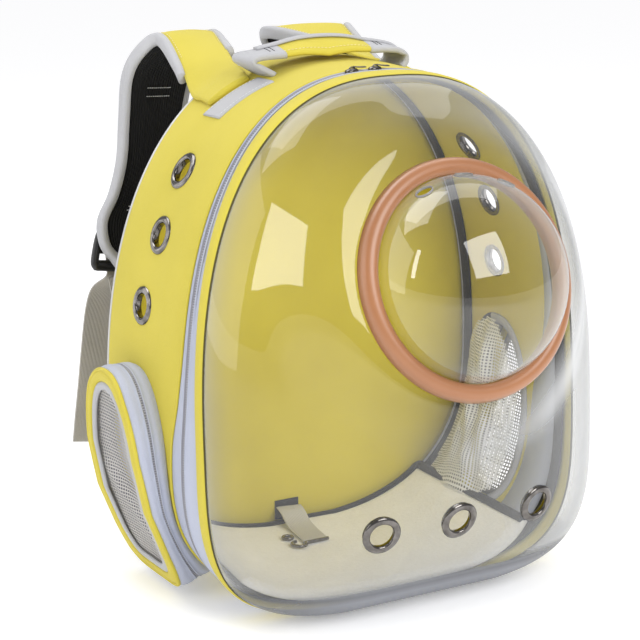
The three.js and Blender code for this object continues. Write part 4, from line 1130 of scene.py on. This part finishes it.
ring_profile = [
    (BUBBLE_RADIUS + 0.2, 0.4), (RING_OUTER - 0.6, 0.4), (RING_OUTER + 0.2, 1.6),
    (RING_OUTER, 5.0), (RING_OUTER - 1.4, 8.2), (RING_OUTER - 4.2, 10.2),
    (RING_OUTER - 7.5, 10.8), (RING_OUTER - 10.3, 9.8), (BUBBLE_RADIUS + 0.8, 7.6),
    (BUBBLE_RADIUS + 0.2, 4.5),
]
ring_profile = spline(ring_profile + ring_profile[:1], 41)[:-1]
piece("ring_body", lathed(ring_profile, 160, SEAT, BUBBLE_AXIS), PEACH,
      ["bubble_ring"])

# Eyelets


def eyelet(point, axis, wall):
    profile = [
        (EYELET_INNER + 0.6, -wall - 0.6), (EYELET_INNER + 0.1, -0.4), (EYELET_INNER, 0.6),
        (EYELET_INNER + 0.3, 1.5), (EYELET_INNER + 1.3, 2.2), (EYELET_INNER + 2.7, 2.2),
        (EYELET_INNER + 4.3, 1.6), (EYELET_OUTER, 0.7), (EYELET_OUTER, 0.3),
        (EYELET_INNER + 1.4, 0.25), (EYELET_INNER + 1.4, -wall),
        (EYELET_INNER + 4.4, -wall - 0.4), (EYELET_INNER + 4.2, -wall - 1.2),
        (EYELET_INNER + 1.5, -wall - 1.4),
    ]
    return lathed(profile, 64, point, axis)


for index, (point, axis) in enumerate(FRONT_EYELETS):
    piece(f"front_eyelet_ring_{index + 1}", eyelet(point, axis, 2.0), PEWTER,
          [f"front_eyelet_{index + 1}"])
for side_name, side in SIDES:
    for index, (point, axis) in side_points.items():
        piece(f"side_eyelet_ring_{side_name}_{index + 1}",
              eyelet(mirror(point, side), mirror(axis, side), CLOTH), PEWTER,
              [f"side_eyelet_{side_name}_{index + 1}"])

# Side doors


def mirrored_shape(shape, side):
    points, faces, uvs = shape
    return mirror(points, side), faces, uvs


def handed(hand, name, shape, material, node=None, close=True):
    """A piece on one side, from a shape drawn for the right side."""
    side_name, side = hand
    replaces = [f"{node}_{side_name}"] if node else []
    return piece(f"{name}_{side_name}", mirrored_shape(shape, side), material, replaces, close)


def door_gusset():
    """Two pale strips with the zip's groove between them, bowed outwards."""
    low = seam_point(DOOR_ROUNDS, 0.0, 0.8)
    high = face_point(DOOR_ROUNDS, 0.0, -0.3)
    inward = unit(seam_point(DOOR_ROUNDS, 2.5, 0.8) - low)
    profile = [
        # share of the way out, how far the strip bows away from the opening
        (0.00, 0.0), (0.05, 0.5), (0.16, 1.6), (0.30, 1.8), (0.40, 1.0), (0.42, 1.6),
        (0.455, 1.5), (0.465, -0.4), (0.535, -0.4), (0.545, 1.5), (0.58, 1.6), (0.60, 1.0),
        (0.72, 1.9), (0.86, 1.7), (0.95, 0.8), (1.00, 0.0),
    ]
    outer = [mix(low, high, t) - inward * bow for t, bow in profile]
    inner = [mix(low, high, t) + inward * 2.0 for t in (1.0, 0.5, 0.0)]
    return grid(np.array(outer + inner), wrap_rows=True, wrap_cols=True)


def door_ring(profile):
    """Loops of (shrink, out) round the door's face."""
    rows = [face_point(DOOR_ROUNDS, shrink, np.full(len(DOOR_ROUNDS), out))
            for shrink, out in profile]
    return grid(np.array(rows), wrap_rows=True, wrap_cols=True)


def door_sag(share, height):
    """How far the loose net hangs inwards, with one slanting fold."""
    middle = np.clip(1 - ((height - DOOR_CENTRE) / DOOR_HALF) ** 2, 0, 1)
    across = np.clip(1 - ((share - DOOR_SHARE) / DOOR_HALF_SHARE) ** 2, 0, 1)
    fold = np.exp(-(((height - 62 - (share - DOOR_SHARE) * 160) / 9) ** 2))
    return 7.0 * middle * across - 3.0 * fold * across


def netting(surface, share_half, height_half, shrink, pitch, yarn):
    """A net over the door: cells with square holes on the surface given by (share, height)."""
    shares = np.arange(-share_half, share_half + pitch, pitch) / DOOR_MID_DEPTH + DOOR_SHARE
    heights = np.arange(-height_half, height_half + pitch, pitch) + DOOR_CENTRE
    share, height = np.meshgrid(shares, heights)
    points = surface(share, height)
    cols = share.shape[1]
    inside = inside_door(share, height, shrink)
    cell = inside[:-1, :-1] & inside[1:, :-1] & inside[:-1, 1:] & inside[1:, 1:]
    i, j = np.nonzero(cell)
    corner = np.stack([i * cols + j, i * cols + j + 1, (i + 1) * cols + j + 1,
                       (i + 1) * cols + j], -1)
    flat = points.reshape(-1, 3)
    corners = flat[corner]
    middle = corners.mean(axis=1, keepdims=True)
    hole = middle + (corners - middle) * (1 - yarn)
    hole_at = len(flat) + np.arange(len(corner) * 4).reshape(-1, 4)
    faces = []
    for k in range(4):
        n = (k + 1) % 4
        faces.append(np.stack([corner[:, k], corner[:, n], hole_at[:, n], hole_at[:, k]], -1))
    faces = np.concatenate(faces)
    whole = np.concatenate([flat, hole.reshape(-1, 3)])
    used = np.unique(faces)
    index = np.full(len(whole), -1)
    index[used] = np.arange(len(used))
    whole, faces = whole[used], index[faces]
    uvs = whole[faces.ravel()][:, 1:] * MM
    return whole, faces, uvs


DOOR_MID_DEPTH = DEPTH - RIM_LEAN * DOOR_CENTRE / FRONT["height"]


def face_net(share, height):
    x = np.interp(height, DOOR_FACE[:, 0], DOOR_FACE[:, 1]) + 1.2 - door_sag(share, height)
    y = band_point(angle_at_height(height, share), share)[..., 1]
    return np.stack([x, y, height], -1)


def hung_net(share, height):
    """The loose inner net hangs from the opening's hem into the cabin, in folds."""
    at = opening_angle(height, share)
    u = (share - DOOR_SHARE) / DOOR_HALF_SHARE
    v = (height - DOOR_CENTRE) / DOOR_HALF
    bag = np.clip(1 - u ** 2, 0, 1) ** 0.6 * np.clip(1 - np.abs(v) ** 2.4, 0, 1) ** 0.7
    bag = bag * (1 - 0.75 * smooth((u + 0.1) / 1.1))
    low = 0.62 + 0.38 * np.clip(0.4 - v, 0, 1)
    folds = 2.6 * np.sin(u * 9 + v * 4) + 1.8 * np.sin(u * 15 - v * 6 + 1.0)
    sag = 5.0 + bag * (34.0 * low + folds)
    return band_point(at, share) - band_normal(at, share) * sag[..., None]


# Yarn as a share of a cell, and the yarn's area as a share of the door's width and height
DOOR_PITCH, DOOR_YARN, DOOR_CUT = 2.7, 0.40, 0.38
INNER_PITCH = 2.6
INNER_YARN = {-1: 0.24, 1: 0.50}
for hand in SIDES:
    side_name, side = hand
    gusset = handed(hand, "gusset", door_gusset(), PALE_BLUE, "door_gusset")
    # The groove's faces and the gusset's inner faces get the darker material: painted shade.
    line_rows(gusset, len(DOOR_ROUNDS), (6, 7, 8, 16, 17), GROOVE_SHADE)
    low = seam_point(DOOR_ROUNDS, 0.0, 0.8)
    high = face_point(DOOR_ROUNDS, 0.0, -0.3)
    inward = unit(seam_point(DOOR_ROUNDS, 2.5, 0.8) - low)
    line = closed_line(mix(low, high, 0.5) + inward * 0.2)
    handed(hand, "gusset_coil", teeth(
        line, closed_line(-inward), closed_line(unit(high - low)), 1.9, 2.6), COIL)
    handed(hand, "door_border", door_ring([
        (2.2, -0.1), (1.2, 1.2), (2.0, 2.2), (4.0, 3.1), (7.0, 3.2), (9.4, 2.6), (10.2, 1.4),
        (10.2, -0.1),
    ]), YELLOW, "door_frame")
    piping = face_point(DOOR_ROUNDS, 1.0, np.full(len(DOOR_ROUNDS), 1.2))
    handed(hand, "door_piping", swept(piping, round_profile(1.7, 10), closed=True), YELLOW)
    handed(hand, "door_tape", door_ring([
        (10.0, 0.2), (10.3, 1.9), (12.0, 2.5), (14.5, 2.4), (16.2, 1.6), (16.4, 0.4),
    ]), PALE, "door_binding")
    half = DOOR_HALF_SHARE * DOOR_MID_DEPTH
    net = handed(hand, "net", netting(
        face_net, half - 13, DOOR_HALF - 13, 12.0, DOOR_PITCH, DOOR_YARN), DOOR_NET,
        "door_mesh", close=False)
    inner = handed(hand, "inner_net", netting(
        hung_net, half - 2, DOOR_HALF - 2, 3.0, INNER_PITCH, INNER_YARN[side]), NET,
        close=False)
    hem_rows = [seam_point(DOOR_ROUNDS, shrink, np.full(len(DOOR_ROUNDS), out))
                for shrink, out in ((1.0, -3.3), (2.5, -4.6), (6.0, -4.8), (8.8, -4.0),
                                    (9.0, -2.4), (8.0, -0.6), (6.0, -1.0), (2.0, -2.9))]
    hem = handed(hand, "door_hem", grid(np.array(hem_rows), wrap_rows=True, wrap_cols=True),
                 BLACK)
    hem.data.materials.append(PALE)
    pale = (np.cos(DOOR_ROUNDS) < 0.2) | (side < 0)
    for face in hem.data.polygons:
        face.material_index = int(pale[face.index % len(DOOR_ROUNDS)])

# Shoulder straps

root = []
for outer_x, outer_share, inner_x, inner_share in ROOT_ROWS:
    root.append(np.concatenate([
        on_band(outer_x, outer_share, GAP + 3), on_band(inner_x, inner_share, GAP + 3)]))
scale = np.array([BACK["half"], STRAP_REACH, BACK["height"]])
start = np.array([0, DEPTH / 2, 0])
behind = [np.concatenate([np.array(row[:3]) * scale + start, np.array(row[3:]) * scale + start])
          for row in STRAP_ROWS]
# The turn at the lower end is drawn separately, so the rows stop just above it.
strap_edges = spline(root + behind, STRAP_STEPS)
STRAP_OUTER, STRAP_INNER = strap_edges[:, :3], strap_edges[:, 3:]
strap_run = unit(np.gradient((STRAP_OUTER + STRAP_INNER) / 2, axis=0))
STRAP_ACROSS = unit(STRAP_INNER - STRAP_OUTER)
STRAP_NORMAL = unit(np.cross(strap_run, STRAP_ACROSS))
STRAP_NORMAL *= np.sign(STRAP_NORMAL[0, 2])
STRAP_WIDTH = np.linalg.norm(STRAP_INNER - STRAP_OUTER, axis=1)
FREE = int(np.argmin(np.linalg.norm(strap_edges - behind[0], axis=1)))
BINDING = 6.5


def strap_layer(rows, inset, low, high, crown, billow=0.0):
    """A padded layer of the strap: crowned outwards when crown is positive."""
    t = np.linspace(0, 1, 17)
    arch = np.sin(math.pi * t) ** 0.55
    sections = []
    for k in rows:
        a = STRAP_OUTER[k] + STRAP_ACROSS[k] * inset
        b = STRAP_INNER[k] - STRAP_ACROSS[k] * inset
        line = mix(a[None], b[None], t[:, None])
        bump = billow * wobble(line, 30, 5.5) * arch
        top = line + STRAP_NORMAL[k] * (high + max(crown, 0) * arch + bump)[:, None]
        bottom = line + STRAP_NORMAL[k] * (low + min(crown, 0) * arch)[:, None]
        sections.append(np.concatenate([top, bottom[::-1]]))
    return capped(np.array(sections))


def strap_binding_shape():
    rows = list(range(FREE - 10, len(STRAP_OUTER) - 3))
    inward = BINDING * 0.5
    down = [STRAP_OUTER[k] + STRAP_ACROSS[k] * inward for k in rows]
    up = [STRAP_INNER[k] - STRAP_ACROSS[k] * inward for k in rows][::-1]
    end = (STRAP_OUTER[-1] + STRAP_INNER[-1]) / 2 + strap_run[-1] * 5.0
    spread = STRAP_ACROSS[-1] * STRAP_WIDTH[-1] * 0.30
    turn = [end - spread, end, end + spread]
    route = np.array(down[::4] + [down[-1]] + turn + [up[0]] + up[4::4] + [up[-1]])
    path = spline(route, 300)
    normals = [STRAP_NORMAL[k] for k in rows]
    normals = normals[::4] + [normals[-1]] + [STRAP_NORMAL[-1]] * 3 + [normals[-1]]
    high = normals + [STRAP_NORMAL[k] for k in rows][::-1][4::4] + [STRAP_NORMAL[rows[0]]]
    along = np.concatenate([[0], np.cumsum(np.linalg.norm(np.diff(route, axis=0), axis=1))])
    at = np.linspace(0, along[-1], len(path))
    up_at = unit(np.stack([np.interp(at, along, np.array(high)[:, k]) for k in range(3)], -1))
    a = np.linspace(0, 2 * math.pi, 20, endpoint=False)
    profile = np.stack([np.sign(np.cos(a)) * np.abs(np.cos(a)) ** 0.8 * BINDING * 0.52,
                        np.sign(np.sin(a)) * np.abs(np.sin(a)) ** 0.6 * 5.3 - 0.4], -1)
    return swept(path, profile, up_at)


ALL_ROWS = range(len(STRAP_OUTER) - 1)
FREE_ROWS = range(FREE, len(STRAP_OUTER) - 1)
for hand in SIDES:
    core = handed(hand, "strap_face", strap_layer(ALL_ROWS, BINDING - 1.0, 0.0, 3.0, 2.6, 0.7),
                  YELLOW, "strap_core")
    lining = handed(hand, "strap_back", strap_layer(
        FREE_ROWS, BINDING - 1.0, -4.2, -0.3, -1.6), AIR_MESH, "strap_lining")
    handed(hand, "strap_edge", strap_binding_shape(), PALE, "strap_binding")
    tacks = []
    for place in (0.40, 0.425, 0.80, 0.82):
        k = int(FREE + (len(STRAP_OUTER) - 1 - FREE) * place)
        width = STRAP_WIDTH[k]
        t = np.linspace(0.30, 0.66, 12)[:, None]
        line = mix(STRAP_OUTER[k], STRAP_INNER[k], t) - STRAP_NORMAL[k] * 5.9
        tacks.append(stitches(line, -STRAP_NORMAL[k], 2.2, 2.1, 0.42))
    handed(hand, "strap_tacks", joined(tacks), PALE_THREAD)
    seams = []
    for edge, way in ((STRAP_OUTER, 1), (STRAP_INNER, -1)):
        rows = list(range(FREE, len(edge) - 4, 2))
        line = np.array([edge[k] + STRAP_ACROSS[k] * way * (BINDING + 2.2)
                         + STRAP_NORMAL[k] * 4.7 for k in rows])
        seams.append(stitches(line, np.array([STRAP_NORMAL[k] for k in rows]), 3.2, 2.2, 0.25))
    handed(hand, "strap_seams", joined(seams), THREAD)

    # Bar over the root
    t = np.linspace(0, 1, 30)
    bar_x = np.interp(t, [0, 0.5, 1], [0.600, 0.490, 0.375])
    bar_share = np.interp(t, [0, 0.5, 1], [0.730, 0.675, 0.620])
    bar = []
    deep = 29.0 / DEPTH
    for back, lift in ((0, 0.5), (0, 1.9), (0.03, 2.5), (0.2, 2.7), (0.5, 2.6), (0.8, 2.7),
                       (0.97, 2.5), (1, 1.9), (1, 0.5)):
        bar.append(on_band(bar_x, bar_share - deep * back, np.full(30, GAP + lift)))
    handed(hand, "strap_patch", capped(np.array(bar).transpose(1, 0, 2)), PALE,
           "strap_bar")
    edges = [on_band(bar_x[2:-2], bar_share[2:-2] - deep * b, np.full(26, GAP + 2.75))
             for b in (0.1, 0.9)]
    ups = band_normal(angle_at_width(bar_x[2:-2] * BACK["half"], bar_share[2:-2]),
                      bar_share[2:-2])
    handed(hand, "strap_patch_seams", joined(
        [stitches(edge, ups, 2.8, 1.9, 0.22) for edge in edges]), PALE_THREAD)

# Ladder locks and webbing
END_CENTRE = (np.array(behind[-1][:3]) + np.array(behind[-1][3:])) / 2
before = (np.array(behind[-2][:3]) + np.array(behind[-2][3:])) / 2
END_RUN = unit(END_CENTRE - before)
END_ACROSS = unit(np.array(behind[-1][3:]) - np.array(behind[-1][:3]))
END_NORMAL = unit(np.cross(END_RUN, END_ACROSS))
END_NORMAL = END_NORMAL * np.sign(END_NORMAL @ STRAP_NORMAL[-1])
BUCKLE_FOOT = BINDING + GAP * 2
BUCKLE_FACE = 4 + GAP * 4


def near_end(along, down, out):
    return END_CENTRE + END_ACROSS * along + END_RUN * down + END_NORMAL * out


def ladder_lock():
    width, height, wall = 54.0, 34.0, 7.0

    def at(x, y, z=0.0):
        return near_end(-6.0 + x, BUCKLE_FOOT - y, BUCKLE_FACE + wall / 2 + z)

    bar = height / 5
    loop = [at(-width / 2 + 4, 3.2), at(0, 3.0), at(width / 2 - 4, 3.2), at(width / 2 - 3, 8),
            at(width / 2 - bar - 1, height - 8), at(width / 2 - bar - 5, height - 3.4),
            at(0, height - 3.2), at(-width / 2 + bar + 5, height - 3.4),
            at(-width / 2 + bar + 1, height - 8), at(-width / 2 + 3, 8)]
    closed = spline(loop + loop[:1], 97)[:-1]
    ups = np.broadcast_to(END_NORMAL, closed.shape)
    frame_part = swept(closed, round_profile(3.3, 14), ups, closed=True)
    bars = []
    for y, reach in ((bar * 2.5, width / 2 - bar + 1), (bar * 0.9, width / 2 - 4)):
        path = np.array([at(x, y, 0.8) for x in np.linspace(-reach, reach, 20)])
        bars.append(swept(path, round_profile(2.9, 12, 0.85),
                          np.broadcast_to(END_NORMAL, path.shape)))
    return joined([frame_part] + bars)


def ribbon(centres, across, width, wall, ripple=0.6, seed=0.0):
    """Webbing with rounded edges; its width lies across the run."""
    path = spline(centres, 70)
    across = np.broadcast_to(across, path.shape)
    run = unit(np.gradient(path, axis=0))
    normal = unit(np.cross(run, across))
    flat_way = unit(np.cross(normal, run))
    path = path + normal * (ripple * wobble(path, 45, seed))[:, None]
    rows = (path[:, None] + flat_way[:, None] * tape_profile(width, wall, 4)[None, :, :1]
            + normal[:, None] * (tape_profile(width, wall, 4)[None, :, 1:] - wall / 2))
    return capped(rows), path


pad_face = DEPTH / 2 + GAP * 2 + 5 + GAP + 11
anchor = np.array([BACK["half"] * 0.61, pad_face + 0.9 + GAP, BACK["height"] * 0.13])
load_top = near_end(0, BUCKLE_FOOT + 2, BUCKLE_FACE + 3.5)
load_run = [load_top, mix(load_top, anchor, 0.5) + [0, 4, -4], anchor + [0, 3, 22], anchor]
tail_out = BUCKLE_FACE + 7 + 0.9 + GAP
tail_run = [near_end(0, BUCKLE_FOOT - 34 * 0.8, tail_out),
            near_end(0, BUCKLE_FOOT + 2, tail_out)]
for x, y, z in ((0.775, 0.76, 0.50), (0.835, 0.72, 0.385), (0.905, 0.66, 0.205)):
    tail_run.append(np.array([x, y, z]) * scale + start)


WEBBING_WIDTH = 36.0
load_shape = ribbon(load_run, np.array([-1.0, 0, 0]), WEBBING_WIDTH, 1.6, 0.5, 2.0)[0]
tail_shape, tail_path = ribbon(tail_run, END_ACROSS, WEBBING_WIDTH, 1.6, 1.2, 4.0)
for hand in SIDES:
    handed(hand, "lock", ladder_lock(), BLACK_PLASTIC, "strap_buckle")
    handed(hand, "load_tape", load_shape, WEBBING, "load_webbing")
    tail = handed(hand, "tail_tape", tail_shape, WEBBING, "webbing_tail")

# Handle
HANDLE_HALF, HANDLE_Y = 68.0, 30.0
HANDLE_EDGE = 15.5
HANDLE_STEPS = 141
HANDLE_ROWS = np.array([
    (0.00, 1.00), (0.30, 0.97), (0.58, 0.87), (0.80, 0.80), (0.94, 0.72), (1.00, 0.58),
    (0.95, 0.42), (0.86, 0.26),
])
handle_share = (HANDLE_Y + DEPTH / 2) / DEPTH
handle_top = float(band_point(math.pi / 2, handle_share)[2])
foot_height = max(
    float(band_point(angle_at_width(HANDLE_HALF * 0.86, s), s)[2])
    for s in (handle_share - HANDLE_EDGE / DEPTH, handle_share,
              handle_share + HANDLE_EDGE / DEPTH)) + GAP
half_x = HANDLE_HALF * HANDLE_ROWS[:, 0]
half_z = mix(foot_height, handle_top + 17.0, (HANDLE_ROWS[:, 1] - 0.26) / 0.74)
run_rows = np.concatenate([
    np.stack([-half_x[::-1], half_z[::-1]], -1), np.stack([half_x[1:], half_z[1:]], -1)])
handle_run = spline(run_rows, HANDLE_STEPS)
handle_dir = unit(np.gradient(handle_run, axis=0))
END_X = HANDLE_HALF * 0.58


def handle_up(k):
    return np.array([-handle_dir[k, 1], 0, handle_dir[k, 0]])


def handle_point(k, y, lift):
    """A point over the handle: k along its run, y across, lift out of its face."""
    x, z = handle_run[k]
    up = handle_up(k)
    fold = 9.5 * max(0, 1 - abs(x) / HANDLE_HALF) * (abs(y) / HANDLE_EDGE) ** 1.5
    lean = 9.0 * float(smooth((z - foot_height) / 17.0))
    return np.array([x - lean, HANDLE_Y + y, z]) + up * (lift - fold)


def handle_shape(rows, wall, swell=0.0, half=HANDLE_EDGE):
    top = np.linspace(-half, half, 15)
    sections = []
    for k in rows:
        upper = [handle_point(k, y, swell) for y in top]
        lower = [handle_point(k, y, -wall - swell) for y in top[::-1]]
        back, front = (
            [handle_point(k, way * (half + 0.8), swell - wall / 2)] for way in (1, -1))
        sections.append(np.array(upper + back + lower + front))
    return capped(np.array(sections))


middle_rows = [k for k in range(HANDLE_STEPS) if abs(handle_run[k, 0]) <= END_X and 20 < k < 120]
piece("handle_face", handle_shape(middle_rows, 3.0, 0.3), YELLOW,
      ["handle_strap"])
ridge_rows = [k for k in range(HANDLE_STEPS) if 24 < k < 128]
ridge = np.array([handle_point(k, 0.0, 0.4) for k in ridge_rows])
ridge_up = np.array([handle_up(k) for k in ridge_rows])
piece("handle_ridge", swept(ridge, tape_profile(6.0, 2.6, 4), ridge_up), PALE)
lower = np.array([handle_point(k, -13.2, 0.7) for k in middle_rows])
lower_up = np.array([handle_up(k) for k in middle_rows])
piece("handle_seam", stitches(lower, lower_up, 3.2, 2.2, 0.25), THREAD)
for side_name, side in SIDES:
    rows = [k for k in range(HANDLE_STEPS) if handle_run[k, 0] * side > 0
            and (abs(handle_run[k, 0]) > END_X - 2 or k < 20 or k > 120)]
    piece(f"handle_patch_{side_name}", handle_shape(rows, 3.0, 0.8, 15.9), PALE,
          [f"handle_end_{side_name}"])
    cross = [rows[6], rows[9]] if side > 0 else [rows[-7], rows[-10]]
    piece(f"handle_tack_{side_name}", joined([
        stitches(np.array([handle_point(k, y, 1.0) for y in np.linspace(-12, 12, 16)]),
                 handle_up(k), 2.4, 2.0, 0.35)
        for k in cross]), BLACK)

# Zip sliders


def slider(x):
    share = float(seam_share(np.array(math.pi / 2), COIL_SEAM))
    angle = math.pi / 2 - math.copysign(1, x) * (
        math.pi / 2 - float(angle_at_width(abs(x), share)))
    centre = band_point(angle, share)
    high = band_normal(angle, share)
    run = unit(band_point(angle - 0.01, share) - band_point(angle + 0.01, share))
    across = np.cross(high, run)

    def at(u, v, w):
        return centre + run * u + across * v + high * w

    parts = []
    body_rows = []
    for u, half, top in ((-5.0, 1.6, 2.0), (-4.6, 2.4, 3.0), (-2.0, 2.9, 3.6), (1.5, 2.9, 3.7),
                         (4.0, 2.5, 3.3), (5.0, 1.7, 2.2)):
        a = np.linspace(0, 2 * math.pi, 16, endpoint=False)
        body_rows.append([at(u, math.cos(t) * half, top * 0.5 + math.sin(t) * top * 0.5 - 0.3)
                          for t in a])
    parts.append(capped(np.array(body_rows)))
    loop = np.array([at(-2.4, 0, 2.9), at(-1.2, 0, 4.1), at(1.2, 0, 4.1), at(2.6, 0, 2.9)])
    parts.append(swept(spline(loop, 14), round_profile(0.55, 8), np.broadcast_to(
        across, (14, 3))))
    tab = [at(u, 0, w) for u, w in ((2.0, 3.9), (4.5, 3.4), (8.0, 2.9), (11.5, 2.6))]
    parts.append(swept(spline(tab, 16), tape_profile(3.4, 0.9, 4), np.broadcast_to(
        high, (16, 3))))
    return joined(parts)


for name, x in (("left", -20.0), ("right", 0.001)):
    piece(f"slider_{name}", slider(x), PEWTER, [f"zip_slider_{name}"])

# Leash
tab_box = [[c / MM for c in corner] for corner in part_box("leash_tab")]
t = np.linspace(0, 1, 12)
tab_path = np.stack([np.full(12, -12.0), 78.2 + 0 * t, mix(tab_box[0][2], tab_box[1][2], t)], -1)
piece("tab_tape", swept(tab_path, tape_profile(22, 2.6, 4) - [0, 1.3], np.broadcast_to(
    [0.0, -1.0, 0.0], (12, 3))), BLACK, ["leash_tab"])
leash_run = [np.array([-12 - 58 * 0.14 * a, 80 - 3 - GAP - 2 - 58 * a, 14.5 + lift])
             for a, lift in ((0, 9.6), (0.15, 8.0), (0.45, 1.6), (1.0, 0.2))]
shape, leash_path = ribbon(leash_run, np.array([1.0, 0, 0]), 22, 1.8, 0.3, 6.0)
leash = piece("leash_tape", shape, LIGHT_WEBBING, ["leash_strap"])
hook_box = np.array(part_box("leash_hook")) / MM
ring_box = np.array(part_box("leash_ring")) / MM
hook_z = float(hook_box[:, 2].mean())
bar_y = leash_run[-1][1] - 1.5 - GAP
end_x = leash_run[-1][0]
bar_path = np.array([[end_x + u, bar_y, hook_z] for u in np.linspace(-10.8, 10.8, 10)])
hook = [[end_x - 10 - 5.94 * (1 - math.cos(k * 0.95)), bar_y - 5.94 * math.sin(k * 0.95), hook_z]
        for k in range(6)]
piece("hook_wire", joined([
    swept(bar_path, round_profile(1.45, 12)), swept(spline(hook, 40), round_profile(1.4, 12))]),
    PEWTER, ["leash_hook"])
ring_middle = ring_box.mean(axis=0)
around = np.linspace(0, 2 * math.pi, 48, endpoint=False)
ring_path = ring_middle + np.stack([np.cos(around) * 3.8, np.sin(around) * 3.8, 0 * around], -1)
piece("ring_wire", swept(ring_path, round_profile(1.45, 12), np.broadcast_to(
    [0.0, 0.0, 1.0], ring_path.shape), closed=True), PEWTER, ["leash_ring"])

# Floor, light and camera

floor_size = 40.0
floor_mesh = bpy.data.meshes.new("floor")
floor_mesh.from_pydata(
    [(-floor_size, -floor_size, 0), (floor_size, -floor_size, 0), (floor_size, floor_size, 0),
     (-floor_size, floor_size, 0)], [], [(0, 1, 2, 3)])
floor = bpy.data.objects.new("floor", floor_mesh)
bpy.context.scene.collection.objects.link(floor)
floor_material, _, _, floor_bsdf = shader("floor_white")
floor_bsdf.inputs["Base Color"].default_value = (0.93, 0.93, 0.93, 1)
floor_bsdf.inputs["Roughness"].default_value = 0.9
floor_bsdf.inputs["Specular IOR Level"].default_value = 0.0
floor_bsdf.inputs["Emission Color"].default_value = (1, 1, 1, 1)
floor_bsdf.inputs["Emission Strength"].default_value = 0.24
floor_mesh.materials.append(floor_material)


LAMP_DISTANCE = 1.9
LAMPS_AIM_AT = Vector((0, -0.05, 0.2))
LAMPS = [
    # name, azimuth, elevation, width, height, power, shows in reflections only
    ("strip_left", -79, 26, 0.18, 0.90, 3.0, False),
    ("window_front", 8, 35, 1.10, 1.15, 20, False),
    ("window_back", -150, 59, 1.50, 1.00, 12, False),
    ("card_left", -120, 12, 2.20, 2.00, 20, True),
    ("card_top", 165, 66, 2.60, 1.00, 15, True),
]


def soft_box(name, azimuth, elevation, width, height, power):
    a, e = math.radians(azimuth), math.radians(elevation)
    away = Vector((math.sin(a) * math.cos(e), -math.cos(a) * math.cos(e), math.sin(e)))
    data = bpy.data.lights.new(name, "AREA")
    data.shape = "RECTANGLE"
    data.size = width
    data.size_y = height
    data.energy = power
    lamp = bpy.data.objects.new(name, data)
    lamp.location = LAMPS_AIM_AT + away * LAMP_DISTANCE
    lamp.rotation_euler = away.to_track_quat("Z", "Y").to_euler()
    bpy.context.scene.collection.objects.link(lamp)
    return lamp


for *lamp_values, reflection_only in LAMPS:
    lamp = soft_box(*lamp_values)
    lamp.visible_diffuse = not reflection_only

world = bpy.data.worlds.new("studio")
world.use_nodes = True
nodes = world.node_tree.nodes
links = world.node_tree.links
background = nodes["Background"]
path = nodes.new("ShaderNodeLightPath")
shade = nodes.new("ShaderNodeMix")
shade.data_type = "RGBA"
shade.inputs["A"].default_value = (0.78, 0.78, 0.79, 1)
shade.inputs["B"].default_value = (1, 1, 1, 1)
links.new(path.outputs["Is Camera Ray"], shade.inputs["Factor"])
mirrored = nodes.new("ShaderNodeMix")
mirrored.data_type = "RGBA"
mirrored.inputs["B"].default_value = (0.42, 0.42, 0.43, 1)
links.new(path.outputs["Is Glossy Ray"], mirrored.inputs["Factor"])
links.new(shade.outputs["Result"], mirrored.inputs["A"])
links.new(mirrored.outputs["Result"], background.inputs["Color"])
background.inputs["Strength"].default_value = 1.0
bpy.context.scene.world = world
bpy.context.scene.view_settings.view_transform = "Standard"

SENSOR_WIDTH, LENS = 36, 108.59
EYE = (-0.75826, -1.24794, 0.55986)
LOOK_AT = Vector((-0.006247, 0.033221, 0.191624))
camera_data = bpy.data.cameras.new("camera")
camera_data.sensor_width = SENSOR_WIDTH
camera_data.lens = LENS
camera = bpy.data.objects.new("camera", camera_data)
camera.location = EYE
look = LOOK_AT - camera.location
camera.rotation_euler = look.to_track_quat("-Z", "Y").to_euler()
bpy.context.scene.collection.objects.link(camera)
bpy.context.scene.camera = camera
